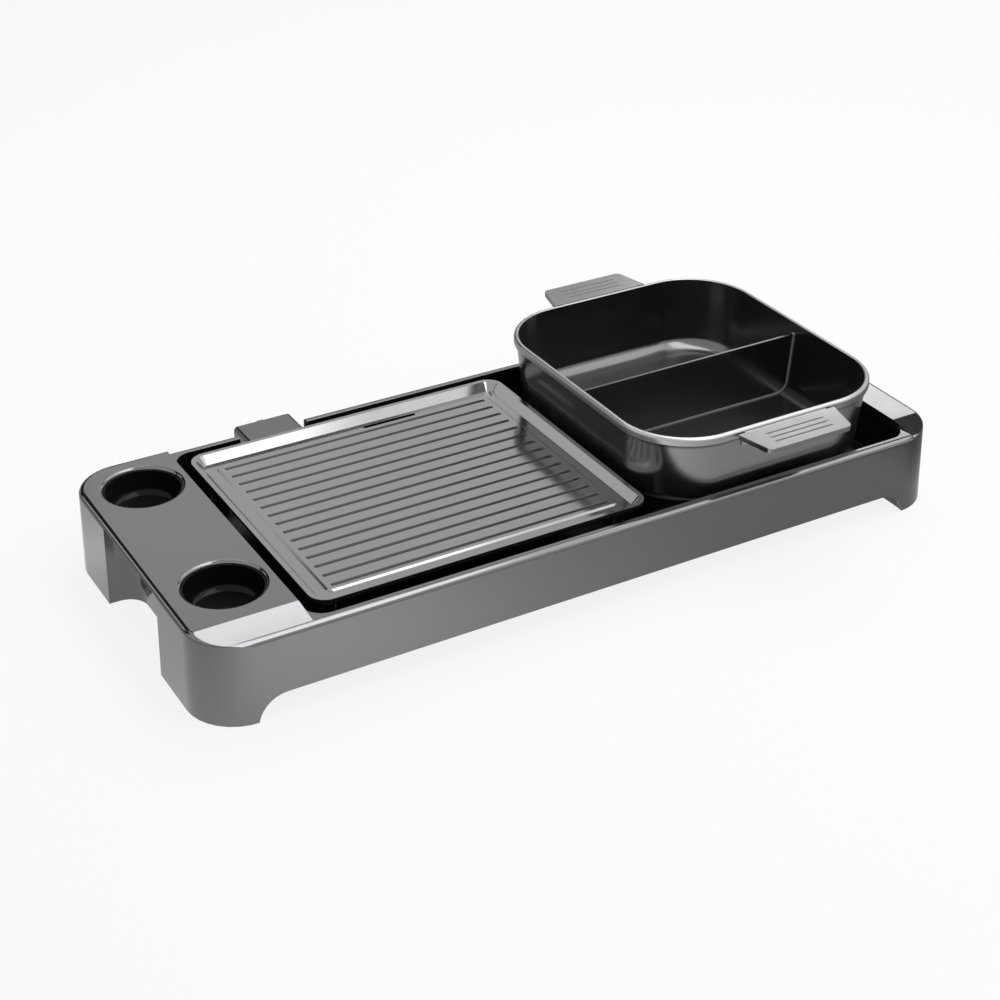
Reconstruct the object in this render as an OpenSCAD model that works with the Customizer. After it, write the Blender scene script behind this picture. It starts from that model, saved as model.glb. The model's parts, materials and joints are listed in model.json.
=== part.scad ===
/* [Base] */
// Length of the base at its top edge
base_l = 700; // [690:1:730]
// Width of the base at its top edge
base_w = 302; // [300:1:310]
// Height of the front and rear rails above the table
rail_z = 72.5; // [70:0.5:76]
// Height of the end plateaus above the rails
plateau_rise = 3.2; // [2:0.1:5]
// Width of the left plateau, which holds the sauce wells
left_plateau_w = 90.8; // [88:0.1:96]
// Width of the right plateau
right_plateau_w = 31; // [30.5:0.5:36]
// Width of each rail
rail_w = 8; // [7.5:0.5:10]
// Width of the falling band at the front of each plateau
front_band_w = 30.4; // [24:0.1:36]
// Corner radius of the base in plan
base_corner_r = 40.4; // [34:0.1:44]
// Rounding of the top edges
edge_r = 4.5; // [3:0.5:5]
// Wall of the moulded shell
shell_t = 3; // [2.5:0.1:3.4]
// Outward lean of the walls, as a share of the depth
draft_share = 0.032; // [0.01:0.001:0.05]
// Height of the cut-outs between the legs
arch_z = 20.9; // [18:0.1:24]
// Radius at the ends of the cut-outs
arch_r = 25.4; // [22:0.1:30]
// Length of each leg along the front
leg_l = 41; // [38:0.5:50]
// Depth of each leg along the end
leg_w = 95.6; // [92:0.1:104]
// Depth of the grip alcove in each end
alcove_d = 26.8; // [24:0.1:27]
// Corner radius of the grip alcove
alcove_r = 18; // [17.5:0.5:22]
// Wall behind the grip alcove
alcove_t = 2; // [1.5:0.1:2]
// Corner radius of the opening
open_corner_r = 18; // [14:0.5:20]

/* [Sauce wells] */
// Distance from the opening to the centres of the wells
well_inset = 40.3; // [39:0.1:42]
// Distance from the rear edge of the base to the centre of the rear well
well_rear_inset = 49.6; // [47:0.1:53]
// Distance from the front edge of the base to the centre of the front well
well_front_inset = 80.3; // [75:0.1:81]
// Radius of each well
well_r = 33; // [30:0.5:33]
// Rounding of the lip of each well
lip_r = 2.8; // [2:0.1:3.4]
// Depth of each well from the plateau to its floor
well_depth = 23.7; // [18:0.1:28]
// Wall of each cup
cup_t = 1.2; // [1:0.1:1.6]

/* [Tray and underside] */
// Sheet of the tray
tray_t = 2; // [1.5:0.1:2.4]
// Sheet of the bottom cover
cover_t = 2; // [1.5:0.1:3]
// Height of the tabs between the bottom cover and the tray
tab_h = 3.6; // [3:0.1:5]
// Sheet of the heat shields
shield_t = 1; // [0.8:0.1:1.4]
// Height of the turned-up rim of the heat shields
shield_rim_h = 9; // [7:0.5:9.5]
// Radius of each rubber foot
foot_r = 11; // [9:0.5:12]
// Part of each rubber foot that stands below the shell
foot_proud = 1; // [0.5:0.1:2]

/* [Grill plate] */
// Gap between the grill plate and the left plateau
plate_gap = 9.8; // [8:0.1:12]
// Gap in plan between the grill plate and the rim band of the pot
plate_pot_gap = 0.8; // [0.8:0.1:4]
// Gap between the grill plate and each rail
plate_side_gap = 12.2; // [11:0.1:15]
// Corner radius of the grill plate
plate_corner_r = 15; // [12:0.5:20]
// Width of the flat rim
plate_rim_w = 4; // [3:0.1:5]
// Outward flare of the wall from floor to rim
plate_flare = 6; // [4:0.1:8]
// Depth from the rim to the channel
plate_depth = 7; // [5:0.1:10]
// Thickness of the casting
plate_t = 3; // [2.4:0.1:4]
// Distance from each end of the grill plate to the foot of the raised platform
platform_end_inset = 18.6; // [17:0.1:25]
// Distance from each long side of the grill plate to the foot of the raised platform
platform_side_inset = 18.8; // [18:0.1:23]
// Height of the raised platform
platform_h = 1.3; // [0.8:0.1:2]
// Width of the sloping border of the platform
platform_slope = 3.8; // [2:0.1:5]
// Number of grooves
groove_count = 15; // [9:1:15]
// Distance from the foot of the platform to the middle of the outermost grooves
groove_side_inset = 7.5; // [7:0.1:12]
// Width of each groove
groove_w = 4; // [3:0.1:5]
// Depth of each groove
groove_d = 1.3; // [0.8:0.1:1.6]
// Length of the drain slot
drain_l = 52; // [40:1:60]
// Width of the drain slot
drain_w = 4; // [3:0.1:5]
// Height of the feet under the grill plate
plate_foot_h = 24.5; // [22:0.5:28]
// Height of the rests under the feet of the grill plate
plate_rest_h = 11; // [9:0.5:13]

/* [Heaters and inlets] */
// Radius of the heater tubes
heater_r = 3.5; // [3:0.1:4]
// Depth of the heater's middle under the casting
heater_drop = 7.5; // [7:0.1:8]
// Width of the cast rib that holds a heater
rib_w = 12; // [10:0.5:13]
// Radius of the bends of the heaters
bend_r = 25; // [18:0.5:26]
// Distance between the two terminal pins
pin_pitch = 28; // [26:0.5:30]
// Radius of the terminal pins
pin_r = 2.4; // [2:0.1:2.6]

/* [Controllers] */
// Width of a plug-in controller
block_w = 55; // [50:0.5:58]
// Depth of a plug-in controller
block_d = 36; // [34:0.5:37]
// Height of a controller above the pins
block_high = 12.5; // [11:0.1:12.5]
// Height of a controller below the pins
block_low = 15.5; // [13:0.1:15.5]
// Reach of a controller behind the base
block_reach = 18.5; // [17.5:0.1:20]
// Corner radius of a controller
block_r = 4; // [2:0.5:8]
// Gap at each side of a controller in its notch
notch_gap = 4.6; // [4.4:0.1:6]
// Radius of the dials
dial_r = 11.5; // [9:0.5:12]
// Length of the dials
dial_l = 7.5; // [6:0.5:8]
// Length of the sensing probes
probe_l = 60; // [50:1:66]

/* [Pot] */
// Length of the pot over its rim band
pot_l = 247; // [240:0.5:247]
// Distance from each long edge of the base to the rim band of the pot in plan
pot_inset = 8.5; // [8.5:0.5:12]
// Gap between the pot's rim and the right plateau in plan
pot_gap = 16.4; // [12:0.1:18]
// Corner radius of the pot over its rim band
pot_corner_r = 63.7; // [58:0.1:68]
// Height of the pot from its underside to its rim
pot_h = 71; // [64:0.5:80]
// Inward lean of the walls, as a share of the depth
pot_lean_share = 0.085; // [0.07:0.001:0.1]
// Wall of the pot
pot_t = 2.4; // [2:0.1:3]
// Radius between the floor and the walls inside
pot_floor_r = 12; // [8:0.5:16]
// Width of the rim band seen from above
rim_w = 4.3; // [3.8:0.1:5]
// Height of the rim band
rim_h = 7.5; // [6:0.1:9]
// Depth of the divider's top edge below the rim
divider_drop = 10.3; // [6:0.1:20]
// Thickness of the divider
divider_t = 1.6; // [1.2:0.1:2.4]
// Thickness of the seal around the divider
seal_t = 1.6; // [1:0.1:2.4]
// Height of the heater cover under the pot
pot_base_h = 20.3; // [18:0.1:22]
// Height of the rests under the pot
pot_rest_h = 5; // [4:0.5:7]

/* [Handles] */
// Reach of the handles from the rim band
handle_reach = 37; // [36:0.5:44]
// Width of the handles at the pot
handle_root_w = 99.4; // [90:0.1:104]
// Width of the handles at their outer edge
handle_tip_w = 83.5; // [76:0.1:90]
// Thickness of the handles
handle_t = 4.5; // [4:0.1:6]
// Depth of the handles' top face below the rim
handle_drop = 1.8; // [1.4:0.1:3]
// Length of the grip grooves
grip_l = 56; // [40:1:60]

/* [Hidden] */

// overrun of the cuts, and the fineness of round shapes
over = 1;
arc_steps = 8;
round_fn = 48;
small_fn = 32;
$fn = round_fn;

// heights of the base
plateau_z = rail_z + plateau_rise;
deck_z = rail_z - shell_t;
cover_z = arch_z;
tab_z = cover_z + cover_t;
tray_z = tab_z + tab_h;
tray_floor_z = tray_z + tray_t;
shield_z = tray_floor_z + shield_t;
shell_z = foot_proud;
band_y = -base_w / 2 + front_band_w;

// the opening and what it is cut by
open_left = -base_l / 2 + left_plateau_w;
open_right = base_l / 2 - right_plateau_w;
open_l = open_right - open_left;
open_x = (open_left + open_right) / 2;
open_w = base_w - 2 * rail_w;

// how far the drafted wall stands out at the foot of the shell
foot_lean = draft_share * plateau_z;
base_end = base_l / 2 + foot_lean;
base_side = base_w / 2 + foot_lean;
leg_x = base_end - leg_l;
leg_y = base_side - leg_w;
alcove_x = base_end - alcove_d;
alcove_z = plateau_z - shell_t;
skin_y = base_w / 2 + draft_share * (plateau_z - tray_z) - shell_t;

// tabs that carry the tray and take the cover's screws
tab_w = 12;
tab_share = [-0.36, -0.12, 0.12, 0.36];
cover_fit = 0.3;

// screws
screw_r = 1.5;
screw_fit = 0.1;
screw_head_r = 3;
screw_head_h = 1.6;
head_fit = 0.4;

// the caps that close the ends of the shell, their screws and the rubber feet
cap_t = 4;
cap_fit = 0.3;
foot_h = 2;
foot_fit = 0.2;
foot_x = (leg_x + base_end) / 2;
foot_y = base_side - leg_w / 2;
cap_recess_z = shell_z + foot_h - foot_proud;
cap_seat_z = cap_recess_z + screw_head_h;
cap_boss_r = 5;
cap_boss_inset = 22;
cap_screw_l = 12;
cap_pilot_l = 14;

// sauce wells
well_x = open_left - well_inset;
well_rear_y = base_w / 2 - well_rear_inset;
well_front_y = well_front_inset - base_w / 2;
cup_top_z = plateau_z - lip_r;
cup_floor_z = plateau_z - well_depth;
cup_lean_share = 0.1;
cup_foot_r = well_r - cup_lean_share * well_depth;
cup_fit = 0.1;
cup_flange_w = 4;
collar_w = 6;
pocket_step = 0.5;

// how far the plateaus' front edge lies inside the rail's, so that the two faces never coincide
edge_step = 0.05;

// the plate and the pot share the opening, so their sizes follow from it
plate_l = open_l - plate_gap - plate_pot_gap - pot_l - pot_gap;
plate_w = open_w - 2 * plate_side_gap;
pot_w = base_w - 2 * pot_inset;
platform_l = plate_l - 2 * platform_end_inset;
platform_w = plate_w - 2 * platform_side_inset;
groove_pitch = (platform_w - 2 * groove_side_inset) / (groove_count - 1);

// the grill plate's levels and place
plate_x = open_left + plate_gap + plate_l / 2;
plate_foot_z = shield_z + plate_rest_h;
plate_z = plate_foot_z + plate_foot_h;
channel_z = plate_z + plate_t;
plate_rim_z = channel_z + plate_depth;
plate_rim_t = 3;
plate_wall_t = 2.2;
plate_foot_r = 6;
plate_foot_inset = 20;
rest_r = 8;
platform_corner_r = 6;
platform_sink = 0.5;
groove_inset = 6;
groove_r = (groove_d * groove_d + groove_w * groove_w / 4) / (2 * groove_d);
drain_x = 35;
drain_gap = 0.6;

// heater loops
rib_cover = 2.5;
rib_h = heater_drop + heater_r + rib_cover;
rib_sink = 0.4;
plate_loop_end_inset = 37.1;
plate_loop_side_inset = 55.8;
plate_loop_x = plate_l / 2 - plate_loop_end_inset;
plate_loop_y = plate_w / 2 - plate_loop_side_inset;
pot_loop_end_inset = 58.5;
pot_loop_side_inset = 62.5;
pot_loop_x = pot_l / 2 - pot_loop_end_inset;
pot_loop_y = pot_w / 2 - pot_loop_side_inset;
heater_fit = 0.05;

// the heat shields, one in each half of the tray
shield_gap = 6;
shield_corner_r = 12;
shield_screw_inset_x = 50;
shield_screw_inset_y = 14;

// plug-in controllers, placed from the rear edge of the base
block_back = base_w / 2 + block_reach;
block_front = block_back - block_d;
nose_l = 21.5;
nose_w = 44;
nose_high = 4.9;
nose_low = 6.6;
nose_front = block_front - nose_l;
inlet_t = 2;
inlet_fit = 0.5;
inlet_wall_gap = 6;
inlet_y = nose_front - inlet_wall_gap - inlet_t;
inlet_gap = 3.5;
inlet_back = block_front - inlet_gap;
pin_l = 18;
pin_fit = 0.2;
probe_r = 2.2;
probe_drop = 3.8;
probe_fit = 0.4;
pocket_l = 26;
pocket_w = 12;
pocket_gap = 2;
notch_drop = 2;
plate_controller_inset = 87.9;
plate_controller_x = open_left + plate_gap + plate_controller_inset;
plate_pin_z = plate_z - heater_drop;
shield_w = 2 * (inlet_back - shield_t);

// dials, lamps and cord glands on the rear face of the controllers
dial_shaft_r = 3;
dial_shaft_l = 9;
dial_running_gap = 0.05;
dial_face_gap = 0.5;
dial_grip_w = 5;
dial_grip_h = 2.5;
lamp_r = 2.5;
lamp_h = 1.2;
lamp_x = 19;
lamp_rise = 6;
gland_r = 5;
gland_bore_r = 3.3;
gland_h = 5;
gland_x = 19;
gland_drop = 7;

// the pot's levels and place
pot_x = open_right - pot_gap - pot_l / 2;
pot_base_z = shield_z + pot_rest_h;
pot_z = pot_base_z + pot_base_h;
pot_rim_z = pot_z + pot_h;
rim_top_t = 1.2;
pot_wall_top = pot_rim_z - rim_top_t;
pot_floor_z = pot_z + pot_t;
pot_flat_inset = rim_w + pot_lean_share * (pot_h - pot_floor_r) + pot_floor_r;
pot_base_inset = 4;
pot_base_t = 1.5;
pot_base_screw_l = 12;
pot_boss_end_gap = 25;
pot_boss_side_gap = 35;
pot_boss_x = pot_loop_x - pot_boss_end_gap;
pot_boss_y = pot_loop_y - pot_boss_side_gap;
pot_boss_r = 4;
pot_rest_end_inset = 57.5;
pot_rest_side_inset = 60.5;
pot_rest_x = pot_l / 2 - pot_rest_end_inset;
pot_rest_y = pot_w / 2 - pot_rest_side_inset;
pot_controller_x = pot_x;
pot_pin_z = pot_z - heater_drop;
hem_t = 2.4;
hem_h = 3;
divider_top_z = pot_rim_z - divider_drop;

// each heat shield reaches from one end of the tray to the gap between the plate and the pot
shield_split = (plate_x + plate_l / 2 + pot_x - pot_l / 2) / 2;
plate_shield_l = shield_split - open_left - 2 * shield_gap;
plate_shield_x = (open_left + shield_split) / 2;
pot_shield_l = open_right - shield_split - 2 * shield_gap;
pot_shield_x = (shield_split + open_right) / 2;

// handles and their brackets
handle_gap = 2.7;
handle_corner_r = 5;
bracket_t = 2;
bracket_w = 84;
bracket_flange_h = 9;
bracket_gap = 0.4;
bracket_reach = 30;
handle_top_z = pot_rim_z - handle_drop;
handle_z = handle_top_z - handle_t;
handle_root_y = pot_w / 2 + handle_gap;
handle_tip_y = pot_w / 2 + handle_reach;
grip_w = 2.2;
grip_d = 0.8;
grip_pitch = 7;
grip_step = 2.5;
grip_y = (handle_root_y + handle_tip_y) / 2;
handle_screw_x = 28;
handle_screw_l = 5;
handle_screw_y = (handle_root_y + handle_tip_y - screw_head_r) / 2;

// an arc as a list of points
function arc(x, y, r, from, to) =
    [for (i = [0 : arc_steps]) let (a = from + (to - from) * i / arc_steps) [x + r * cos(a), y + r * sin(a)]];

// a rounded rectangle around the origin, half sizes hx and hy, as a list of points
function outline(hx, hy, r) = concat(
    arc(hx - r, hy - r, r, 0, 90),
    arc(r - hx, hy - r, r, 90, 180),
    arc(r - hx, r - hy, r, 180, 270),
    arc(hx - r, r - hy, r, 270, 360));

// the same outline drawn in by d, at height z
function ring(hx, hy, r, d, z) = [for (p = outline(hx - d, hy - d, r - d)) [p.x, p.y, z]];

// a skin through rings of equal length, with flat ends or joined into a loop
module loft(rings, closed = false) {
    n = len(rings[0]);
    m = len(rings);
    last = closed ? m - 1 : m - 2;
    sides = [for (k = [0 : last]) for (i = [0 : n - 1])
        let (j = (i + 1) % n, up = (k + 1) % m, a = k * n + i, b = k * n + j, c = up * n + j, d = up * n + i)
        each [[a, d, c], [a, c, b]]];
    ends = closed ? [] : [[for (i = [0 : n - 1]) i], [for (i = [n - 1 : -1 : 0]) (m - 1) * n + i]];
    polyhedron(points = [for (r = rings) each r], faces = concat(sides, ends), convexity = 6);
}

// an upright slab with rounded corners, centred in plan
module slab(l, w, h, r) {
    linear_extrude(h) polygon(outline(l / 2, w / 2, r));
}

// a bar along Y with rounded long edges, from y = 0
module bar_y(w, l, h, r) {
    rotate([-90, 0, 0]) slab(w, h, l, r);
}

// a box centred in plan
module block(l, w, h) {
    translate([-l / 2, -w / 2, 0]) cube([l, w, h]);
}

// the four places (x, y) of a rectangle
module at_corners(x, y) {
    for (sx = [-1, 1]) for (sy = [-1, 1]) translate([sx * x, sy * y, 0]) children();
}

// a pan-head screw whose head rests on z = 0, shank upwards
module screw(l) {
    translate([0, 0, -screw_head_h]) cylinder(h = screw_head_h, r = screw_head_r, $fn = small_fn);
    cylinder(h = l, r = screw_r, $fn = small_fn);
}

// one ring of the base's drafted wall, drawn in by d
function base_ring(d, z) = ring(base_l / 2, base_w / 2, base_corner_r, d - draft_share * (plateau_z - z), z);

// the rings of a quarter-round edge that ends at height top
function base_edge(top) =
    [for (k = [0 : arc_steps]) let (a = 90 * k / arc_steps)
        base_ring(edge_r * (1 - cos(a)), top - edge_r * (1 - sin(a)))];

// the quarter-round of the front edge seen from the end, a hair inside the rail's own
function front_edge() =
    [for (k = [0 : arc_steps]) let (a = 90 * k / arc_steps, z = rail_z - edge_r * (1 - sin(a)))
        [edge_step - base_w / 2 + edge_r * (1 - cos(a)) - draft_share * (plateau_z - z), z - edge_step]];

// the two plateaus seen from the end, with the falling band at their fronts, each cut back by inset
module plateau_blocks(inset) {
    front = -base_w / 2 + edge_r;
    run = (band_y - front) * over / plateau_rise;
    section = concat([[-base_side - over, shell_z], [-base_side - over, rail_z - edge_r - over]], front_edge(),
                     [[band_y + run, plateau_z + over], [base_side + over, plateau_z + over],
                      [base_side + over, shell_z]]);
    for (r = [[-base_end - over, left_plateau_w + foot_lean + over - inset],
              [open_right + inset, right_plateau_w + foot_lean + over - inset]])
        translate([r[0], 0, 0]) rotate([90, 0, 90]) linear_extrude(r[1]) polygon(section);
}

// what is taken off above the rails and the falling bands, down to their rounded outer edge
module above_rails() {
    seam_z = rail_z - edge_r;
    difference() {
        translate([0, 0, seam_z - over / 2]) block(2 * base_l, 2 * base_w, plateau_z);
        plateau_blocks(0);
        loft(concat([base_ring(-3 * over, shell_z), base_ring(-2 * over, seam_z - over)], base_edge(rail_z)));
    }
}

// the outside of the shell, without its openings
module base_outside() {
    difference() {
        loft(concat([base_ring(0, shell_z)], base_edge(plateau_z)));
        above_rails();
    }
}

// the pockets under the plateaus, round the collars of the wells
module plateau_pockets() {
    inset = shell_t + pocket_step;
    difference() {
        intersection() {
            loft([base_ring(inset, deck_z - over), base_ring(inset, plateau_z - shell_t)]);
            plateau_blocks(shell_t);
            translate([-base_l, band_y, 0]) cube([2 * base_l, base_w, plateau_z]);
        }
        at_wells() cylinder(h = plateau_z, r = well_r + collar_w);
    }
}

// the places of the screws that hold the end caps
module at_cap_screws() {
    at_corners(base_end - cap_boss_inset, base_side - cap_boss_inset) children();
}

// the grip alcove in the right end, grown by g on its closed sides
module alcove(g) {
    translate([alcove_x + base_end, 0, 0])
        slab(2 * (base_end + g), 2 * (leg_y + g), alcove_z, alcove_r);
}

// the cut-out between the legs, seen from the front
function arch_outline() = concat(
    arc(arch_r - leg_x, arch_z - arch_r, arch_r, 180, 90),
    arc(leg_x - arch_r, arch_z - arch_r, arch_r, 90, 0));

module arches() {
    translate([0, base_side + over, 0]) rotate([90, 0, 0]) linear_extrude(2 * (base_side + over))
        polygon(arch_outline());
}

// the place of the tabs along the front and rear walls
module at_tabs(y) {
    for (s = tab_share) for (sy = [-1, 1]) translate([s * base_l, sy * y, 0]) children();
}

// the space that a controller needs in the rear wall
module notch(x, pin_z) {
    z = pin_z - block_low - notch_drop;
    translate([x - block_w / 2 - notch_gap, open_w / 2 - over, z])
        cube([block_w + 2 * notch_gap, base_side, plateau_z]);
}

module notches() {
    notch(plate_controller_x, plate_pin_z);
    notch(pot_controller_x, pot_pin_z);
}

// the lip and the hole of a sauce well
module well_hole() {
    translate([0, 0, tray_z]) cylinder(h = plateau_z, r = well_r);
    translate([0, 0, cup_top_z]) rotate_extrude()
        polygon(concat(arc(well_r + lip_r, 0, lip_r, 180, 90), [[well_r + lip_r, lip_r + over],
                                                             [0, lip_r + over], [0, 0]]));
}

module at_wells() {
    for (y = [well_rear_y, well_front_y]) translate([well_x, y, 0]) children();
}

// the hollow inside the shell, less the walls that stand in it
module base_hollow() {
    difference() {
        union() {
            loft([base_ring(shell_t, shell_z - over), base_ring(shell_t, deck_z)]);
            plateau_pockets();
        }
        for (sx = [0, 1]) mirror([sx, 0, 0]) {
            alcove(alcove_t);
            translate([leg_x, -base_side, 0]) cube([shell_t, 2 * base_side, tray_z]);
        }
        at_tabs(skin_y) translate([-tab_w / 2, -tab_w, tab_z]) cube([tab_w, 2 * tab_w, tab_h]);
        at_cap_screws() translate([0, 0, shell_z + cap_t]) cylinder(h = plateau_z, r = cap_boss_r);
    }
}

module base_shell() {
    color("dimgray") difference() {
        base_outside();
        base_hollow();
        at_cap_screws() cylinder(h = shell_z + cap_t + cap_pilot_l, r = screw_r + screw_fit, $fn = small_fn);
        translate([open_x, 0, tray_z]) slab(open_l, open_w, plateau_z, open_corner_r);
        for (sx = [0, 1]) mirror([sx, 0, 0]) alcove(0);
        arches();
        notches();
        at_wells() well_hole();
        at_tabs(skin_y - tab_w / 2) cylinder(h = plateau_z / 2, r = screw_r + screw_fit, $fn = small_fn);
    }
}

// a cup that lines a sauce well, bonded by its flange to the underside of the deck
module well_cup(y) {
    color("black") difference() {
        translate([well_x, y, 0]) difference() {
            union() {
                translate([0, 0, deck_z]) cylinder(h = cup_top_z - deck_z, r = well_r - cup_fit);
                translate([0, 0, deck_z - cup_t]) cylinder(h = cup_t, r = well_r + cup_flange_w);
                translate([0, 0, cup_floor_z - cup_t])
                    cylinder(h = deck_z - cup_floor_z + cup_t, r1 = cup_foot_r, r2 = well_r - cup_fit);
            }
            translate([0, 0, cup_floor_z])
                cylinder(h = cup_top_z - cup_floor_z + over, r1 = cup_foot_r - cup_t, r2 = well_r - cup_t);
        }
        mirror([1, 0, 0]) alcove(alcove_t + cup_fit);
    }
}

module well_cup_rear() {
    well_cup(well_rear_y);
}

module well_cup_front() {
    well_cup(well_front_y);
}

module at_shield_screws() {
    for (b = [[plate_shield_x, plate_shield_l], [pot_shield_x, pot_shield_l]])
        translate([b[0], 0, 0])
            at_corners(b[1] / 2 - shield_screw_inset_x, shield_w / 2 - shield_screw_inset_y) children();
}

module inner_tray() {
    color("black") difference() {
        translate([open_x, 0, tray_z])
            slab(open_l + 2 * tray_t, open_w + 2 * tray_t, deck_z - tray_z, open_corner_r + tray_t);
        translate([open_x, 0, tray_floor_z]) slab(open_l, open_w, rail_z, open_corner_r);
        notches();
        at_shield_screws() cylinder(h = rail_z, r = screw_r + screw_fit, $fn = small_fn);
    }
}

// a shallow sheet pan on the floor of the tray
module heat_shield(x, l) {
    color("darkslategray") difference() {
        translate([x, 0, tray_floor_z]) slab(l, shield_w, shield_rim_h, shield_corner_r);
        translate([x, 0, shield_z])
            slab(l - 2 * shield_t, shield_w - 2 * shield_t, shield_rim_h, shield_corner_r - shield_t);
        at_shield_screws() cylinder(h = rail_z, r = screw_r + screw_fit, $fn = small_fn);
    }
}

module plate_heat_shield() {
    heat_shield(plate_shield_x, plate_shield_l);
}

module pot_heat_shield() {
    heat_shield(pot_shield_x, pot_shield_l);
}

module shield_screws() {
    color("silver") at_shield_screws() translate([0, 0, shield_z]) mirror([0, 0, 1]) screw(shield_t + tray_t);
}

module bottom_cover() {
    reach = base_w / 2 + draft_share * (plateau_z - tab_z) - shell_t - cover_fit;
    color("black") difference() {
        translate([0, 0, cover_z]) block(2 * (leg_x - cover_fit), 2 * reach, cover_t);
        at_tabs(skin_y - tab_w / 2) cylinder(h = tray_z, r = screw_r + screw_fit, $fn = small_fn);
    }
}

module cover_screws() {
    color("silver") at_tabs(skin_y - tab_w / 2) translate([0, 0, cover_z]) screw(cover_t + tab_h);
}

// the plates that close the two hollow ends from below
module end_caps() {
    inner_x = leg_x + shell_t + cap_fit;
    color("black") difference() {
        loft([base_ring(shell_t + cap_fit, shell_z), base_ring(shell_t + cap_fit, shell_z + cap_t)]);
        block(2 * inner_x, 2 * base_side, rail_z);
        for (sx = [0, 1]) mirror([sx, 0, 0]) alcove(alcove_t + cap_fit);
        at_corners(foot_x, foot_y) cylinder(h = cap_recess_z, r = foot_r + foot_fit);
        at_cap_screws() {
            cylinder(h = cap_seat_z, r = screw_head_r + head_fit, $fn = small_fn);
            cylinder(h = rail_z, r = screw_r + screw_fit, $fn = small_fn);
        }
    }
}

module cap_screws() {
    color("silver") at_cap_screws() translate([0, 0, cap_seat_z]) screw(cap_screw_l);
}

module rubber_feet() {
    color("black") at_corners(foot_x, foot_y) cylinder(h = foot_h, r = foot_r);
}

// the feet of the grill plate, around its middle
module at_plate_feet() {
    translate([plate_x, 0, 0])
        at_corners(plate_l / 2 - plate_foot_inset, plate_w / 2 - plate_foot_inset) children();
}

module plate_rests() {
    color("black") at_plate_feet() translate([0, 0, shield_z]) cylinder(h = plate_rest_h, r = rest_r);
}

module pot_rests() {
    color("black") translate([pot_x, 0, shield_z]) at_corners(pot_rest_x, pot_rest_y)
        cylinder(h = pot_rest_h, r = rest_r);
}

// a straight run of the child's section along X or Y, and a quarter bend
module run_x(from, to) {
    translate([from, 0, 0]) rotate([90, 0, 90]) linear_extrude(to - from) children();
}

module run_y(from, to) {
    translate([0, to, 0]) rotate([90, 0, 0]) linear_extrude(to - from) children();
}

module bend(turn) {
    rotate([0, 0, turn]) rotate_extrude(angle = 90) translate([bend_r, 0]) children();
}

// an open loop of half sizes hx and hy, whose two ends leave at pin_x towards the rear, up to y = end
module heater_path(hx, hy, pin_x, end) {
    left_pin = pin_x - pin_pitch / 2;
    right_pin = pin_x + pin_pitch / 2;
    translate([0, -hy, 0]) run_x(bend_r - hx, hx - bend_r) children();
    translate([0, hy, 0]) run_x(bend_r - hx, left_pin) children();
    translate([0, hy, 0]) run_x(right_pin, hx - bend_r) children();
    for (sx = [-1, 1]) translate([sx * hx, 0, 0]) run_y(bend_r - hy, hy - bend_r) children();
    translate([hx - bend_r, hy - bend_r, 0]) bend(0) children();
    translate([bend_r - hx, hy - bend_r, 0]) bend(90) children();
    translate([bend_r - hx, bend_r - hy, 0]) bend(180) children();
    translate([hx - bend_r, bend_r - hy, 0]) bend(270) children();
    for (x = [left_pin, right_pin]) translate([x, 0, 0]) run_y(hy, end) children();
}

// a heater tube with round elbows at its two pins
module heater(hx, hy, pin_x, r) {
    heater_path(hx, hy, pin_x, inlet_y) circle(r = r, $fn = small_fn);
    for (s = [-1, 1]) translate([pin_x + s * pin_pitch / 2, hy, 0]) sphere(r = r, $fn = small_fn);
}

// the cast rib around a heater, hanging from the casting
module heater_rib(hx, hy, pin_x) {
    heater_path(hx, hy, pin_x, inlet_y)
        translate([-rib_w / 2, heater_drop + rib_sink - rib_h]) square([rib_w, rib_h]);
    for (s = [-1, 1])
        translate([pin_x + s * pin_pitch / 2, hy, heater_drop + rib_sink - rib_h]) block(rib_w, rib_w, rib_h);
}

// the cast block that takes the probe, with the pins' middle at the origin
module probe_pocket() {
    translate([0, inlet_y - pocket_gap - pocket_l / 2, -probe_drop - pocket_w / 2])
        block(pocket_w, pocket_l, heater_drop + rib_sink + probe_drop + pocket_w / 2);
}

module probe_bore() {
    translate([0, inlet_y - pocket_gap - pocket_l - over, -probe_drop]) rotate([-90, 0, 0])
        cylinder(h = pocket_l + 2 * over, r = probe_r + probe_fit, $fn = small_fn);
}

module plate_heater() {
    color("gray") translate([plate_x, 0, plate_pin_z])
        heater(plate_loop_x, plate_loop_y, plate_controller_x - plate_x, heater_r - heater_fit);
}

// one ring of the grill plate, drawn in by d
function plate_ring(d, z) = ring(plate_l / 2, plate_w / 2, plate_corner_r, d, z);

module plate_pan() {
    foot = plate_rim_w + plate_flare;
    loft([
        plate_ring(foot - plate_wall_t, plate_z),
        plate_ring(plate_rim_w - plate_wall_t, plate_rim_z - plate_rim_t),
        plate_ring(0, plate_rim_z - plate_rim_t),
        plate_ring(0, plate_rim_z),
        plate_ring(plate_rim_w, plate_rim_z),
        plate_ring(foot, channel_z)]);
}

module platform() {
    loft([
        ring(platform_l / 2, platform_w / 2, platform_corner_r, 0, channel_z - platform_sink),
        ring(platform_l / 2, platform_w / 2, platform_corner_r, 0, channel_z),
        ring(platform_l / 2, platform_w / 2, platform_corner_r, platform_slope, channel_z + platform_h)]);
}

// a round-bottomed groove with round ends, along X
module groove() {
    reach = platform_l / 2 - groove_inset - groove_r;
    z = channel_z + platform_h - groove_d + groove_r;
    translate([-reach, 0, z]) rotate([0, 90, 0]) cylinder(h = 2 * reach, r = groove_r, $fn = small_fn);
    for (s = [-1, 1]) translate([s * reach, 0, z]) sphere(r = groove_r, $fn = small_fn);
}

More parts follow.
